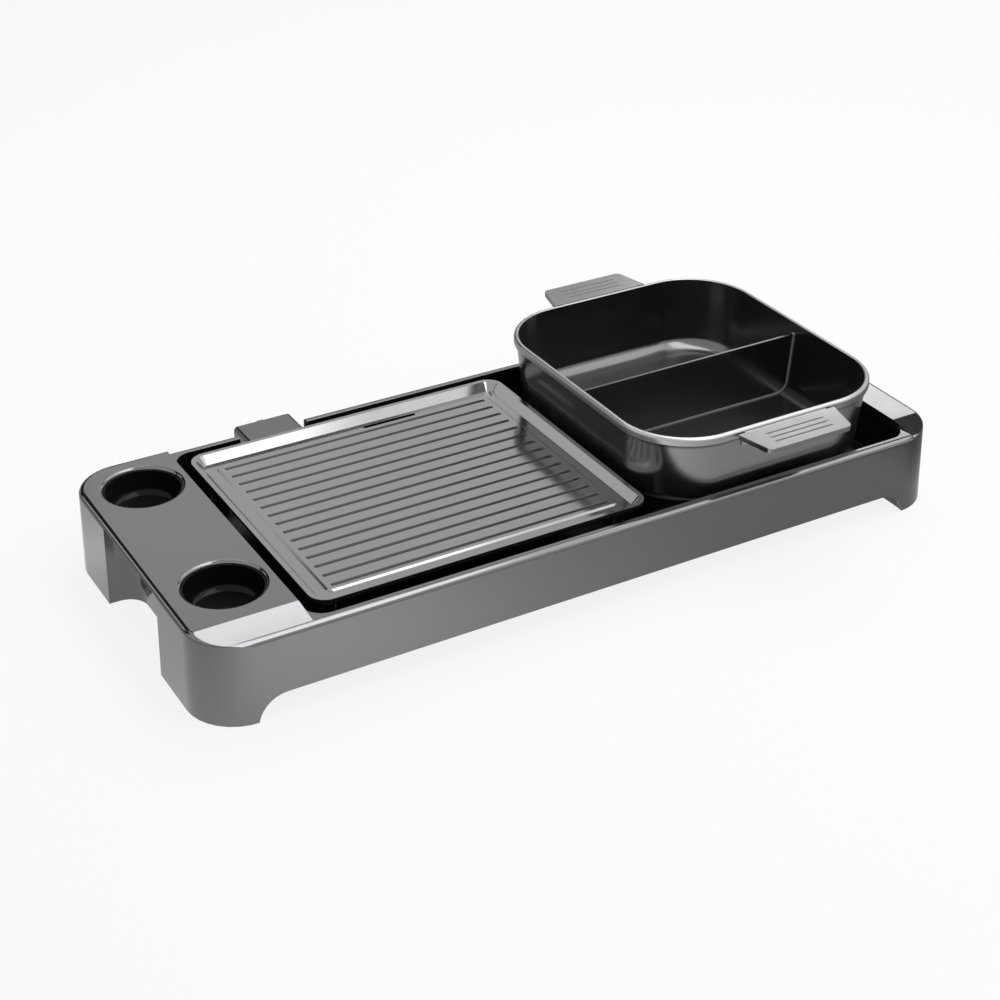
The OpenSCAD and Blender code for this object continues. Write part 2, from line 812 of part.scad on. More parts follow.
module drain() {
    half = (drain_l - drain_w) / 2;
    y = platform_w / 2 + drain_gap + drain_w / 2;
    for (s = [-1, 1]) translate([drain_x + s * half, y, plate_z - over])
        cylinder(h = plate_t + 2 * over, r = drain_w / 2, $fn = small_fn);
    translate([drain_x, y, plate_z - over]) block(2 * half, drain_w, plate_t + 2 * over);
}

module grill_plate() {
    color("gray") difference() {
        union() {
            translate([plate_x, 0, 0]) {
                plate_pan();
                platform();
                translate([0, 0, plate_pin_z])
                    heater_rib(plate_loop_x, plate_loop_y, plate_controller_x - plate_x);
            }
            at_plate_feet() translate([0, 0, plate_foot_z])
                cylinder(h = plate_foot_h + rib_sink, r = plate_foot_r);
            at_plate_pins() probe_pocket();
        }
        translate([plate_x, 0, plate_pin_z])
            heater(plate_loop_x, plate_loop_y, plate_controller_x - plate_x, heater_r);
        at_plate_pins() probe_bore();
        translate([plate_x, 0, 0]) {
            for (i = [0 : groove_count - 1])
                translate([0, (i - (groove_count - 1) / 2) * groove_pitch, 0]) groove();
            drain();
        }
    }
}

// the shroud around the pins, open to the rear, with the pins' middle at the origin
module inlet() {
    high = nose_high + inlet_fit;
    low = nose_low + inlet_fit;
    w = nose_w + 2 * inlet_fit;
    color("black") difference() {
        translate([-w / 2 - inlet_t, inlet_y, -low - inlet_t])
            cube([w + 2 * inlet_t, inlet_back - inlet_y, heater_drop + low + inlet_t]);
        translate([-w / 2, inlet_y + inlet_t, -low]) cube([w, inlet_back, low + high]);
        for (s = [-1, 1]) translate([s * pin_pitch / 2, inlet_y - over, 0]) rotate([-90, 0, 0])
            cylinder(h = inlet_t + 2 * over, r = pin_r, $fn = small_fn);
        translate([0, inlet_y - over, -probe_drop]) rotate([-90, 0, 0])
            cylinder(h = inlet_t + 2 * over, r = probe_r + probe_fit, $fn = small_fn);
    }
}

module terminals() {
    color("silver") for (s = [-1, 1]) translate([s * pin_pitch / 2, inlet_y, 0]) rotate([-90, 0, 0])
        cylinder(h = pin_l, r = pin_r, $fn = small_fn);
}

// the housing of a plug-in controller, with the pins' middle at the origin
module controller() {
    middle = (block_high - block_low) / 2;
    socket_l = inlet_y + pin_l - nose_front + over;
    color("dimgray") difference() {
        union() {
            translate([0, block_front, middle]) bar_y(block_w, block_d, block_high + block_low, block_r);
            translate([-nose_w / 2, nose_front, -nose_low])
                cube([nose_w, nose_l + over, nose_low + nose_high]);
        }
        for (s = [-1, 1]) translate([s * pin_pitch / 2, nose_front - over, 0]) rotate([-90, 0, 0])
            cylinder(h = socket_l + over, r = pin_r + pin_fit, $fn = small_fn);
        translate([0, nose_front - over, -probe_drop]) rotate([-90, 0, 0])
            cylinder(h = nose_l + over, r = probe_r, $fn = small_fn);
        translate([0, block_back - dial_shaft_l - over, middle]) rotate([-90, 0, 0])
            cylinder(h = dial_shaft_l + 2 * over, r = dial_shaft_r + dial_running_gap, $fn = small_fn);
    }
}

module probe() {
    color("silver") translate([0, nose_front - probe_l, -probe_drop]) rotate([-90, 0, 0])
        cylinder(h = probe_l + nose_l, r = probe_r, $fn = small_fn);
}

module lamp() {
    middle = (block_high - block_low) / 2;
    color("red") translate([lamp_x, block_back, middle + lamp_rise]) rotate([-90, 0, 0])
        cylinder(h = lamp_h, r = lamp_r, $fn = small_fn);
}

module gland() {
    middle = (block_high - block_low) / 2;
    color("black") translate([-gland_x, block_back, middle - gland_drop]) rotate([-90, 0, 0]) difference() {
        cylinder(h = gland_h, r = gland_r, $fn = small_fn);
        translate([0, 0, gland_h / 3]) cylinder(h = gland_h, r = gland_bore_r, $fn = small_fn);
    }
}

module dial() {
    middle = (block_high - block_low) / 2;
    color("black") translate([0, block_back + dial_face_gap, middle]) rotate([-90, 0, 0]) {
        cylinder(h = dial_l - dial_grip_h, r = dial_r);
        translate([0, 0, dial_l - dial_grip_h]) block(dial_grip_w, 2 * dial_r - dial_grip_w, dial_grip_h);
        translate([0, 0, -dial_shaft_l]) cylinder(h = dial_shaft_l + over, r = dial_shaft_r, $fn = small_fn);
    }
}

// the middle of the pins of each appliance
module at_plate_pins() {
    translate([plate_controller_x, 0, plate_pin_z]) children();
}

module at_pot_pins() {
    translate([pot_controller_x, 0, pot_pin_z]) children();
}

module plate_inlet() {
    at_plate_pins() inlet();
}

module plate_terminals() {
    at_plate_pins() terminals();
}

module plate_controller() {
    at_plate_pins() controller();
}

module plate_probe() {
    at_plate_pins() probe();
}

module plate_lamp() {
    at_plate_pins() lamp();
}

module plate_gland() {
    at_plate_pins() gland();
}

module plate_dial() {
    at_plate_pins() dial();
}

// one ring of the pot at height z, drawn in by d from its leaning outer wall
function pot_ring(d, z) =
    ring(pot_l / 2, pot_w / 2, pot_corner_r, rim_w - pot_t + d + pot_lean_share * (pot_rim_z - z), z);

// the rings of a rounded floor edge of radius r at height z, the wall drawn in by d, from the wall inwards
function pot_floor(d, r, z) =
    let (wall = rim_w - pot_t + d + pot_lean_share * (pot_rim_z - z - r))
    [for (k = [arc_steps : -1 : 0]) let (a = 90 * k / arc_steps)
        ring(pot_l / 2, pot_w / 2, pot_corner_r, wall + r * (1 - sin(a)), z + r * (1 - cos(a)))];

function reversed(list) = [for (i = [len(list) - 1 : -1 : 0]) list[i]];

module pot_shell() {
    color("dimgray") translate([pot_x, 0, 0]) difference() {
        union() {
            loft(concat(
                reversed(pot_floor(0, pot_floor_r + pot_t, pot_z)),
                [pot_ring(0, pot_wall_top), pot_ring(pot_t, pot_wall_top)],
                pot_floor(pot_t, pot_floor_r, pot_floor_z)));
            translate([0, 0, pot_pin_z]) heater_rib(pot_loop_x, pot_loop_y, 0);
            at_corners(pot_boss_x, pot_boss_y) translate([0, 0, pot_base_z + pot_base_t])
                cylinder(h = pot_z - pot_base_z - pot_base_t + rib_sink, r = pot_boss_r, $fn = small_fn);
            translate([0, 0, pot_pin_z]) probe_pocket();
        }
        translate([0, 0, pot_pin_z]) heater(pot_loop_x, pot_loop_y, 0, heater_r);
        translate([0, 0, pot_pin_z]) probe_bore();
        at_corners(pot_boss_x, pot_boss_y)
            cylinder(h = pot_z - over, r = screw_r + screw_fit, $fn = small_fn);
    }
}

// a folded band over the pot's edge
module pot_rim_band() {
    color("silver") translate([pot_x, 0, 0]) loft([
        ring(pot_l / 2, pot_w / 2, pot_corner_r, 0, pot_rim_z - rim_h),
        ring(pot_l / 2, pot_w / 2, pot_corner_r, 0, pot_rim_z - rim_top_t),
        ring(pot_l / 2, pot_w / 2, pot_corner_r, rim_top_t, pot_rim_z),
        ring(pot_l / 2, pot_w / 2, pot_corner_r, rim_w - rim_top_t / 2, pot_rim_z),
        pot_ring(pot_t, pot_wall_top),
        pot_ring(0, pot_wall_top),
        pot_ring(0, pot_rim_z - rim_h)], closed = true);
}

// half the pot's inner length at height z, drawn in by d
function pot_inside(d, z) = pot_l / 2 - rim_w - d - pot_lean_share * (pot_rim_z - z);

// the outline of an upright sheet that follows the pot's walls and floor, drawn in by d
function divider_outline(d) =
    let (r = pot_floor_r - d, foot = pot_floor_z + pot_floor_r, x = pot_inside(d, foot) - r)
    concat([[-pot_inside(d, divider_top_z), divider_top_z]],
           arc(-x, foot, r, 180, 270),
           arc(x, foot, r, 270, 360),
           [[pot_inside(d, divider_top_z), divider_top_z]]);

module divider_sheet(d, t) {
    translate([0, t / 2, 0]) rotate([90, 0, 0]) linear_extrude(t) polygon(divider_outline(d));
}

module pot_divider() {
    color("gray") translate([pot_x, 0, 0]) {
        divider_sheet(seal_t, divider_t);
        intersection() {
            divider_sheet(seal_t, hem_t);
            translate([0, 0, divider_top_z - hem_h]) block(pot_l, hem_t, hem_h);
        }
    }
}

module divider_seal() {
    color("lightgray") translate([pot_x, 0, 0]) difference() {
        divider_sheet(0, seal_t + divider_t);
        divider_sheet(seal_t, seal_t + divider_t + over);
        translate([0, 0, divider_top_z - seal_t]) block(pot_inside(seal_t, divider_top_z) * 2, pot_w, pot_h);
    }
}

// half the pot's outer width at height z
function pot_outside_y(z) = pot_w / 2 - rim_w + pot_t - pot_lean_share * (pot_rim_z - z);

// the strap that carries a handle, on the rear side of the pot
module bracket() {
    top = pot_rim_z - rim_h;
    low = top - bracket_flange_h;
    strip_y = pot_w / 2 + bracket_gap;
    section = [
        [pot_outside_y(low), low],
        [pot_outside_y(low) + bracket_t, low],
        [pot_outside_y(handle_z - 2 * bracket_t) + bracket_t, handle_z - 2 * bracket_t],
        [strip_y + bracket_t, handle_z - bracket_t],
        [strip_y + bracket_reach, handle_z - bracket_t],
        [strip_y + bracket_reach, handle_z],
        [strip_y + bracket_t, handle_z],
        [strip_y + bracket_t, handle_top_z - bracket_gap],
        [strip_y, handle_top_z - bracket_gap],
        [strip_y, top],
        [pot_outside_y(top), top]];
    color("silver") difference() {
        translate([-bracket_w / 2, 0, 0]) rotate([90, 0, 90]) linear_extrude(bracket_w) polygon(section);
        at_handle_screws() cylinder(h = pot_rim_z, r = screw_r + screw_fit, $fn = small_fn);
    }
}

module at_handle_screws() {
    for (s = [-1, 1]) translate([s * handle_screw_x, handle_screw_y, 0]) children();
}

// a flat tapered grip with three staggered grooves, on the rear side of the pot
module handle() {
    c = handle_corner_r;
    color("silver") difference() {
        hull() for (s = [-1, 1]) {
            translate([s * (handle_root_w / 2 - c), handle_root_y + c, handle_z])
                cylinder(h = handle_t, r = c, $fn = small_fn);
            translate([s * (handle_tip_w / 2 - c), handle_tip_y - c, handle_z])
                cylinder(h = handle_t, r = c, $fn = small_fn);
        }
        for (i = [-1, 0, 1])
            translate([i * grip_step, grip_y + i * grip_pitch, handle_top_z - grip_d]) {
                block(grip_l - grip_w, grip_w, handle_t);
                for (s = [-1, 1]) translate([s * (grip_l - grip_w) / 2, 0, 0])
                    cylinder(h = handle_t, r = grip_w / 2, $fn = small_fn);
            }
        at_handle_screws() translate([0, 0, handle_z - over])
            cylinder(h = handle_screw_l - bracket_t + over, r = screw_r + screw_fit, $fn = small_fn);
    }
}

module at_rear() {
    translate([pot_x, 0, 0]) children();
}

module at_front() {
    translate([pot_x, 0, 0]) rotate([0, 0, 180]) children();
}

module pot_bracket_front() {
    at_front() bracket();
}

module pot_bracket_rear() {
    at_rear() bracket();
}

module pot_handle_front() {
    at_front() handle();
}

module pot_handle_rear() {
    at_rear() handle();
}

module handle_screws() {
    color("silver") {
        at_front() at_handle_screws() translate([0, 0, handle_z - bracket_t]) screw(handle_screw_l);
        at_rear() at_handle_screws() translate([0, 0, handle_z - bracket_t]) screw(handle_screw_l);
    }
}

// the pressed cover around the pot's heater
module pot_base_cover() {
    l = pot_l - 2 * (pot_flat_inset + pot_base_inset);
    w = pot_w - 2 * (pot_flat_inset + pot_base_inset);
    r = pot_corner_r - pot_flat_inset - pot_base_inset;
    inlet_w = nose_w + 2 * (inlet_fit + inlet_t);
    inlet_low = nose_low + inlet_fit + inlet_t;
    color("black") difference() {
        translate([pot_x, 0, pot_base_z]) slab(l, w, pot_base_h, r);
        translate([pot_x, 0, pot_base_z + pot_base_t])
            slab(l - 2 * pot_base_t, w - 2 * pot_base_t, pot_base_h, r - pot_base_t);
        translate([pot_controller_x, w / 2, pot_pin_z - inlet_low]) block(inlet_w, 2 * rib_w, pot_base_h);
        translate([pot_x, 0, 0]) at_corners(pot_boss_x, pot_boss_y)
            cylinder(h = pot_z, r = screw_r + screw_fit, $fn = small_fn);
    }
}

module pot_base_screws() {
    color("silver") translate([pot_x, 0, pot_base_z])
        at_corners(pot_boss_x, pot_boss_y) screw(pot_base_screw_l);
}

module pot_heater() {
    color("gray") translate([pot_x, 0, pot_pin_z])
        heater(pot_loop_x, pot_loop_y, 0, heater_r - heater_fit);
}

module pot_inlet() {
    at_pot_pins() inlet();
}

module pot_terminals() {
    at_pot_pins() terminals();
}

module pot_controller() {
    at_pot_pins() controller();
}

module pot_probe() {
    at_pot_pins() probe();
}

module pot_lamp() {
    at_pot_pins() lamp();
}

module pot_gland() {
    at_pot_pins() gland();
}

module pot_dial() {
    at_pot_pins() dial();
}

base_shell();
well_cup_rear();
well_cup_front();
inner_tray();
plate_heat_shield();
pot_heat_shield();
shield_screws();
bottom_cover();
cover_screws();
end_caps();
cap_screws();
rubber_feet();
plate_rests();
pot_rests();
grill_plate();
plate_heater();
plate_inlet();
plate_terminals();
plate_controller();
plate_probe();
plate_lamp();
plate_gland();
plate_dial();
pot_shell();
pot_rim_band();
pot_divider();
divider_seal();
pot_bracket_front();
pot_bracket_rear();
pot_handle_front();
pot_handle_rear();
handle_screws();
pot_base_cover();
pot_base_screws();
pot_heater();
pot_inlet();
pot_terminals();
pot_controller();
pot_probe();
pot_lamp();
pot_gland();
pot_dial();
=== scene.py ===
import json
import math
import bpy
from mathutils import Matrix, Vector


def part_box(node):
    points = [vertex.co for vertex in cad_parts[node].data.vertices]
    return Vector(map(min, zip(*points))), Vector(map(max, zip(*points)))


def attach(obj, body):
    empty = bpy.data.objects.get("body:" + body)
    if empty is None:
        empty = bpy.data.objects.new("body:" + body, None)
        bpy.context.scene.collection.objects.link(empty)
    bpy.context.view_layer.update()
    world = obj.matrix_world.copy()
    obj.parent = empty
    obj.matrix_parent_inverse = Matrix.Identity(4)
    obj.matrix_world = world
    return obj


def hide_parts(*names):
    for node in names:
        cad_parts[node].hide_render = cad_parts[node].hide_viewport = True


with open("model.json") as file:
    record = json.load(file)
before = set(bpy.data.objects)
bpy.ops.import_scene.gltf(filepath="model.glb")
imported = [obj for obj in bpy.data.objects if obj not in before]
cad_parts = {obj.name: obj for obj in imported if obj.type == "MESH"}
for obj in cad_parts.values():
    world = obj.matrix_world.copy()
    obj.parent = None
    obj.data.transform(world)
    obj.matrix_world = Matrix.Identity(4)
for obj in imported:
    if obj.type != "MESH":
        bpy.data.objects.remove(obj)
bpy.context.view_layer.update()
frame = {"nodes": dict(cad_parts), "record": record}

nodes = frame["nodes"]
mm = 0.001
tight = 0.05 * mm  # slack where two faces lie close together
level = 0.9  # a face whose normal stands at least this high counts as level
print("frame:", len(nodes), "parts")


# selecting, editing and finishing, as used on every piece

def near(value, target, slack=0.15 * mm):
    return abs(value - target) < slack


def middleOf(low, high):
    return [(a + b) / 2 for a, b in zip(low, high)]


def clearSelection():
    if bpy.context.object and bpy.context.object.mode != "OBJECT":
        bpy.ops.object.mode_set(mode="OBJECT")
    bpy.ops.object.select_all(action="DESELECT")


def activate(piece):
    clearSelection()
    piece.select_set(True)
    bpy.context.view_layer.objects.active = piece


def editPart(piece, kind, test):  # edit mode with only what passes the test selected
    activate(piece)
    bpy.ops.object.mode_set(mode="EDIT")
    bpy.ops.mesh.select_mode(type=kind)
    bpy.ops.mesh.select_all(action="DESELECT")
    bpy.ops.object.mode_set(mode="OBJECT")
    mesh = piece.data
    if kind == "VERT":
        for v in mesh.vertices:
            v.select = test(v.co)
    elif kind == "EDGE":
        for e in mesh.edges:
            e.select = test(mesh.vertices[e.vertices[0]].co, mesh.vertices[e.vertices[1]].co)
    else:
        for f in mesh.polygons:
            f.select = test(f.center, f.normal)
    bpy.ops.object.mode_set(mode="EDIT")


def editAll(piece):
    activate(piece)
    bpy.ops.object.mode_set(mode="EDIT")
    bpy.ops.mesh.select_all(action="SELECT")


def leaveEdit():
    bpy.ops.object.mode_set(mode="OBJECT")


def settle(piece):  # place and size go into the mesh
    activate(piece)
    bpy.ops.object.transform_apply(location=True, rotation=True, scale=True)


def apply(piece, kind, **settings):
    activate(piece)
    mod = piece.modifiers.new(kind.lower(), kind)
    for key, value in settings.items():
        setattr(mod, key, value)
    bpy.ops.object.modifier_apply(modifier=mod.name)


flatWeight = 95  # how strongly large faces keep the shading flat


def soften(piece, width, segments=2, sharp=32, smooth=40):  # small round on edges, flat faces stay flat
    if width:
        apply(piece, "BEVEL", width=width, segments=segments, limit_method="ANGLE",
              angle_limit=math.radians(sharp), use_clamp_overlap=True)
    activate(piece)
    bpy.ops.object.shade_smooth_by_angle(angle=math.radians(smooth))
    apply(piece, "WEIGHTED_NORMAL", mode="FACE_AREA", weight=flatWeight, keep_sharp=True)


def carve(piece, cutter):
    apply(piece, "BOOLEAN", operation="DIFFERENCE", object=cutter, solver="EXACT")
    bpy.data.objects.remove(cutter)


def openTop(piece):
    editPart(piece, "FACE", lambda c, n: n.z > level)
    bpy.ops.mesh.delete(type="FACE")
    leaveEdit()


def roundFloor(piece, floorZ, radius, steps):
    editPart(piece, "EDGE", lambda a, b: near(a.z, floorZ) and near(b.z, floorZ))
    bpy.ops.mesh.bevel(offset=radius, segments=steps, affect="EDGES")
    leaveEdit()


def duplicateOf(piece):
    twin = piece.copy()
    twin.data = piece.data.copy()
    bpy.context.scene.collection.objects.link(twin)
    return twin


def joinAll(pieces, name):
    clearSelection()
    for p in pieces:
        p.select_set(True)
    bpy.context.view_layer.objects.active = pieces[0]
    if len(pieces) > 1:
        bpy.ops.object.join()
    pieces[0].name = name
    return pieces[0]


def cube(name, low, high):
    clearSelection()
    bpy.ops.mesh.primitive_cube_add(size=1, location=middleOf(low, high))
    piece = bpy.context.object
    piece.name = name
    piece.scale = [b - a for a, b in zip(low, high)]
    settle(piece)
    return piece


def roundedBlock(name, low, high, radius, segments):  # a slab with its four upright edges rounded
    piece = cube(name, low, high)
    tall = (high[2] - low[2]) / 2
    editPart(piece, "EDGE", lambda a, b: abs(a.z - b.z) > tall)
    bpy.ops.mesh.bevel(offset=radius, segments=segments, affect="EDGES")
    leaveEdit()
    return piece


def rod(name, start, end, radius, sides=32):
    clearSelection()
    start, end = Vector(start), Vector(end)
    bpy.ops.mesh.primitive_cylinder_add(vertices=sides, radius=radius, depth=(end - start).length,
                                        location=(start + end) / 2)
    piece = bpy.context.object
    piece.name = name
    piece.rotation_euler = (end - start).to_track_quat("Z", "Y").to_euler()
    settle(piece)
    return piece


def resizeAt(piece, test, factors, centre):
    editPart(piece, "VERT", test)
    bpy.ops.transform.resize(value=factors, center_override=centre)
    leaveEdit()


cleanup = {"merge": 0.005 * mm, "flat": math.radians(0.6)}


def mergedCopy(nodeName):  # the part's own mesh in edit mode, its doubled corners merged
    piece = bpy.data.objects.new(nodeName + "_skin", nodes[nodeName].data.copy())
    bpy.context.scene.collection.objects.link(piece)
    editAll(piece)
    bpy.ops.mesh.remove_doubles(threshold=cleanup["merge"])
    return piece


def dissolveFlat():  # one face for each flat area of what is selected
    bpy.ops.mesh.dissolve_limited(angle_limit=cleanup["flat"])
    leaveEdit()


def polishedCopy(nodeName, width, segments=2, rounds=()):  # a round of size 0 is a sharp line
    piece = mergedCopy(nodeName)
    dissolveFlat()
    for test, size, steps in rounds:
        editPart(piece, "EDGE", test)
        if size:
            bpy.ops.mesh.bevel(offset=size, segments=steps, affect="EDGES", clamp_overlap=True)
        else:
            bpy.ops.mesh.mark_sharp()
        leaveEdit()
    soften(piece, width, segments)
    return piece


def solids(nodeName):  # low and high corner of each separate solid of a part
    mesh = nodes[nodeName].data
    parent = {}

    def root(k):
        while parent.setdefault(k, k) != k:
            k = parent[k]
        return k

    keys = [tuple(round(c, 6) for c in v.co) for v in mesh.vertices]
    for f in mesh.polygons:
        first = root(keys[f.vertices[0]])
        for v in f.vertices[1:]:
            parent[root(keys[v])] = first
    found = {}
    for k in set(keys):
        low, high = found.setdefault(root(k), ([math.inf] * 3, [-math.inf] * 3))
        for i in range(3):
            low[i] = min(low[i], k[i])
            high[i] = max(high[i], k[i])
    return sorted(found.values())


def paint(piece, finish):
    if piece.material_slots:
        for s in piece.material_slots:
            s.material = finish
    else:
        piece.data.materials.append(finish)


def place(piece, nodeName, finish):  # the piece stands for the part and moves with its body
    piece.name = nodeName + "_look"
    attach(piece, bodyOf[nodeName])
    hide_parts(nodeName)
    paint(piece, finish)


bodyOf = {n: b for b, members in frame["record"]["behaviour"]["bodies"].items() for n in members}
slotOf = {s["node"]: s["material_slot"] for s in frame["record"]["subparts"]}


# effects that several finishes share

def newGroup(name, inputs, outputs):
    tree = bpy.data.node_groups.new(name, "ShaderNodeTree")
    for label, kind, value in inputs:
        socket = tree.interface.new_socket(label, in_out="INPUT", socket_type=kind)
        if value is not None:
            socket.default_value = value
    for label, kind in outputs:
        tree.interface.new_socket(label, in_out="OUTPUT", socket_type=kind)
    return tree, tree.nodes.new("NodeGroupInput"), tree.nodes.new("NodeGroupOutput")


def noise(tree, vector, scale, detail, roughness):
    node = tree.nodes.new("ShaderNodeTexNoise")
    node.inputs["Detail"].default_value = detail
    node.inputs["Roughness"].default_value = roughness
    tree.links.new(vector, node.inputs["Vector"])
    if isinstance(scale, (int, float)):
        node.inputs["Scale"].default_value = scale
    else:
        tree.links.new(scale, node.inputs["Scale"])
    return node.outputs["Fac"]


def spread(tree, value, low, high, newLow=0.0, newHigh=1.0):  # map range, clamped
    node = tree.nodes.new("ShaderNodeMapRange")
    tree.links.new(value, node.inputs["Value"])
    for label, number in (("From Min", low), ("From Max", high), ("To Min", newLow), ("To Max", newHigh)):
        node.inputs[label].default_value = number
    return node.outputs["Result"]


def maths(tree, kind, a, b):
    node = tree.nodes.new("ShaderNodeMath")
    node.operation = kind
    for k, v in enumerate((a, b)):
        if isinstance(v, (int, float)):
            node.inputs[k].default_value = v
        else:
            tree.links.new(v, node.inputs[k])
    return node.outputs[0]


def blend(tree, first, second, factor):  # colour mix, each side a colour or a socket
    node = tree.nodes.new("ShaderNodeMix")
    node.data_type = "RGBA"
    for label, value in (("A", first), ("B", second)):
        if isinstance(value, tuple):
            node.inputs[label].default_value = (*value, 1)
        else:
            tree.links.new(value, node.inputs[label])
    tree.links.new(factor, node.inputs["Factor"])
    return node.outputs["Result"]


def axesOf(tree, coords):
    split = tree.nodes.new("ShaderNodeSeparateXYZ")
    tree.links.new(coords, split.inputs["Vector"])
    return split.outputs


smudgeLook = {"detail": 5, "roughness": 0.6, "from": 0.38, "to": 0.68, "fineScale": 7.0, "fineDetail": 6,
              "fineRoughness": 0.65}


def makeSmudges():  # broad cloudy patches with finer wipe marks in them
    tree, entry, leave = newGroup("smudges", [("Vector", "NodeSocketVector", None),
                                              ("Scale", "NodeSocketFloat", 9.0)],
                                  [("Mask", "NodeSocketFloat")])
    vector, scale = entry.outputs["Vector"], entry.outputs["Scale"]
    clouds = noise(tree, vector, scale, smudgeLook["detail"], smudgeLook["roughness"])
    broad = spread(tree, clouds, smudgeLook["from"], smudgeLook["to"])
    fine = noise(tree, vector, maths(tree, "MULTIPLY", scale, smudgeLook["fineScale"]),
                 smudgeLook["fineDetail"], smudgeLook["fineRoughness"])
    tree.links.new(maths(tree, "MULTIPLY", broad, fine), leave.inputs["Mask"])
    return tree


grainLook = {"detail": 3, "roughness": 0.55, "waveScale": 0.06, "waveDetail": 2, "waveRoughness": 0.5}


def makeGrain():  # fine even surface texture, as height
    tree, entry, leave = newGroup("surfaceGrain", [("Vector", "NodeSocketVector", None),
                                                   ("Scale", "NodeSocketFloat", 900.0)],
                                  [("Height", "NodeSocketFloat")])
    vector, scale = entry.outputs["Vector"], entry.outputs["Scale"]
    fine = noise(tree, vector, scale, grainLook["detail"], grainLook["roughness"])
    wave = noise(tree, vector, maths(tree, "MULTIPLY", scale, grainLook["waveScale"]),
                 grainLook["waveDetail"], grainLook["waveRoughness"])
    tree.links.new(maths(tree, "ADD", fine, wave), leave.inputs["Height"])
    return tree


fleckLook = {"outside": 0.45, "core": 0.2}


def makeFleck():  # small scattered specks, as in a non-stick coating or a metallic lacquer
    tree, entry, leave = newGroup("fleck", [("Vector", "NodeSocketVector", None),
                                            ("Scale", "NodeSocketFloat", 700.0),
                                            ("Amount", "NodeSocketFloat", 0.2)],
                                  [("Mask", "NodeSocketFloat")])
    cells = tree.nodes.new("ShaderNodeTexVoronoi")
    tree.links.new(entry.outputs["Vector"], cells.inputs["Vector"])
    tree.links.new(entry.outputs["Scale"], cells.inputs["Scale"])
    split = tree.nodes.new("ShaderNodeSeparateColor")
    tree.links.new(cells.outputs["Color"], split.inputs["Color"])
    chosen = maths(tree, "LESS_THAN", split.outputs[0], entry.outputs["Amount"])
    speck = spread(tree, cells.outputs["Distance"], fleckLook["outside"], fleckLook["core"])
    tree.links.new(maths(tree, "MULTIPLY", chosen, speck), leave.inputs["Mask"])
    return tree


brushLook = {"scale": 1.0, "detail": 4, "roughness": 0.6}


def makeBrush():  # long parallel brushing lines
    tree, entry, leave = newGroup("brushing", [("Vector", "NodeSocketVector", None),
                                               ("Stretch", "NodeSocketVector", (8.0, 900.0, 900.0))],
                                  [("Height", "NodeSocketFloat")])
    stretch = tree.nodes.new("ShaderNodeVectorMath")
    stretch.operation = "MULTIPLY"
    tree.links.new(entry.outputs["Vector"], stretch.inputs[0])
    tree.links.new(entry.outputs["Stretch"], stretch.inputs[1])
    lines = noise(tree, stretch.outputs[0], brushLook["scale"], brushLook["detail"], brushLook["roughness"])
    tree.links.new(lines, leave.inputs["Height"])
    return tree


# marks that belong to one finish

# the dark settings and the colour below give the painted shade along the grooves
grooves = {"pitch": 14.929 * mm, "centerX": -97.3 * mm, "halfWidth": 2.2 * mm, "halfLength": 127.6 * mm,
           "darkHalf": 2.15 * mm, "darkFade": 0.5 * mm, "darkX": 127 * mm, "darkY": 106.5 * mm,
           "color": (0.02, 0.02, 0.02)}


def paintedGrooveShade(tree, coords):  # 1 along every groove of the grill plate, where shade is painted into the coating as dark lines
    axes = axesOf(tree, coords)
    offLine = maths(tree, "PINGPONG", axes["Y"], grooves["pitch"] / 2)
    lines = spread(tree, offLine, grooves["darkHalf"], grooves["darkHalf"] - grooves["darkFade"])
    fromMiddle = maths(tree, "ABSOLUTE", maths(tree, "SUBTRACT", axes["X"], grooves["centerX"]), 0)
    along = maths(tree, "LESS_THAN", fromMiddle, grooves["darkX"])
    across = maths(tree, "LESS_THAN", maths(tree, "ABSOLUTE", axes["Y"], 0), grooves["darkY"])
    return maths(tree, "MULTIPLY", lines, maths(tree, "MULTIPLY", along, across))


# painted shadow under the pot's rim band: where it starts, where it is full, and its colour
underRimShadow = {"start": 113.5 * mm, "full": 117.4 * mm, "color": (0.004, 0.004, 0.004)}


def paintedRimShadow(tree, coords):  # rises to 1 under the pot's rim band, as painted shadow below the band
    rise = spread(tree, axesOf(tree, coords)["Z"], underRimShadow["start"], underRimShadow["full"])
    return maths(tree, "POWER", rise, 2)


effects = {"smudges": makeSmudges(), "grain": makeGrain(), "fleck": makeFleck(), "brush": makeBrush()}

finishing = {"smudgeShare": 0.5, "smudgeFull": 0.6, "relief": 0.05 * mm}


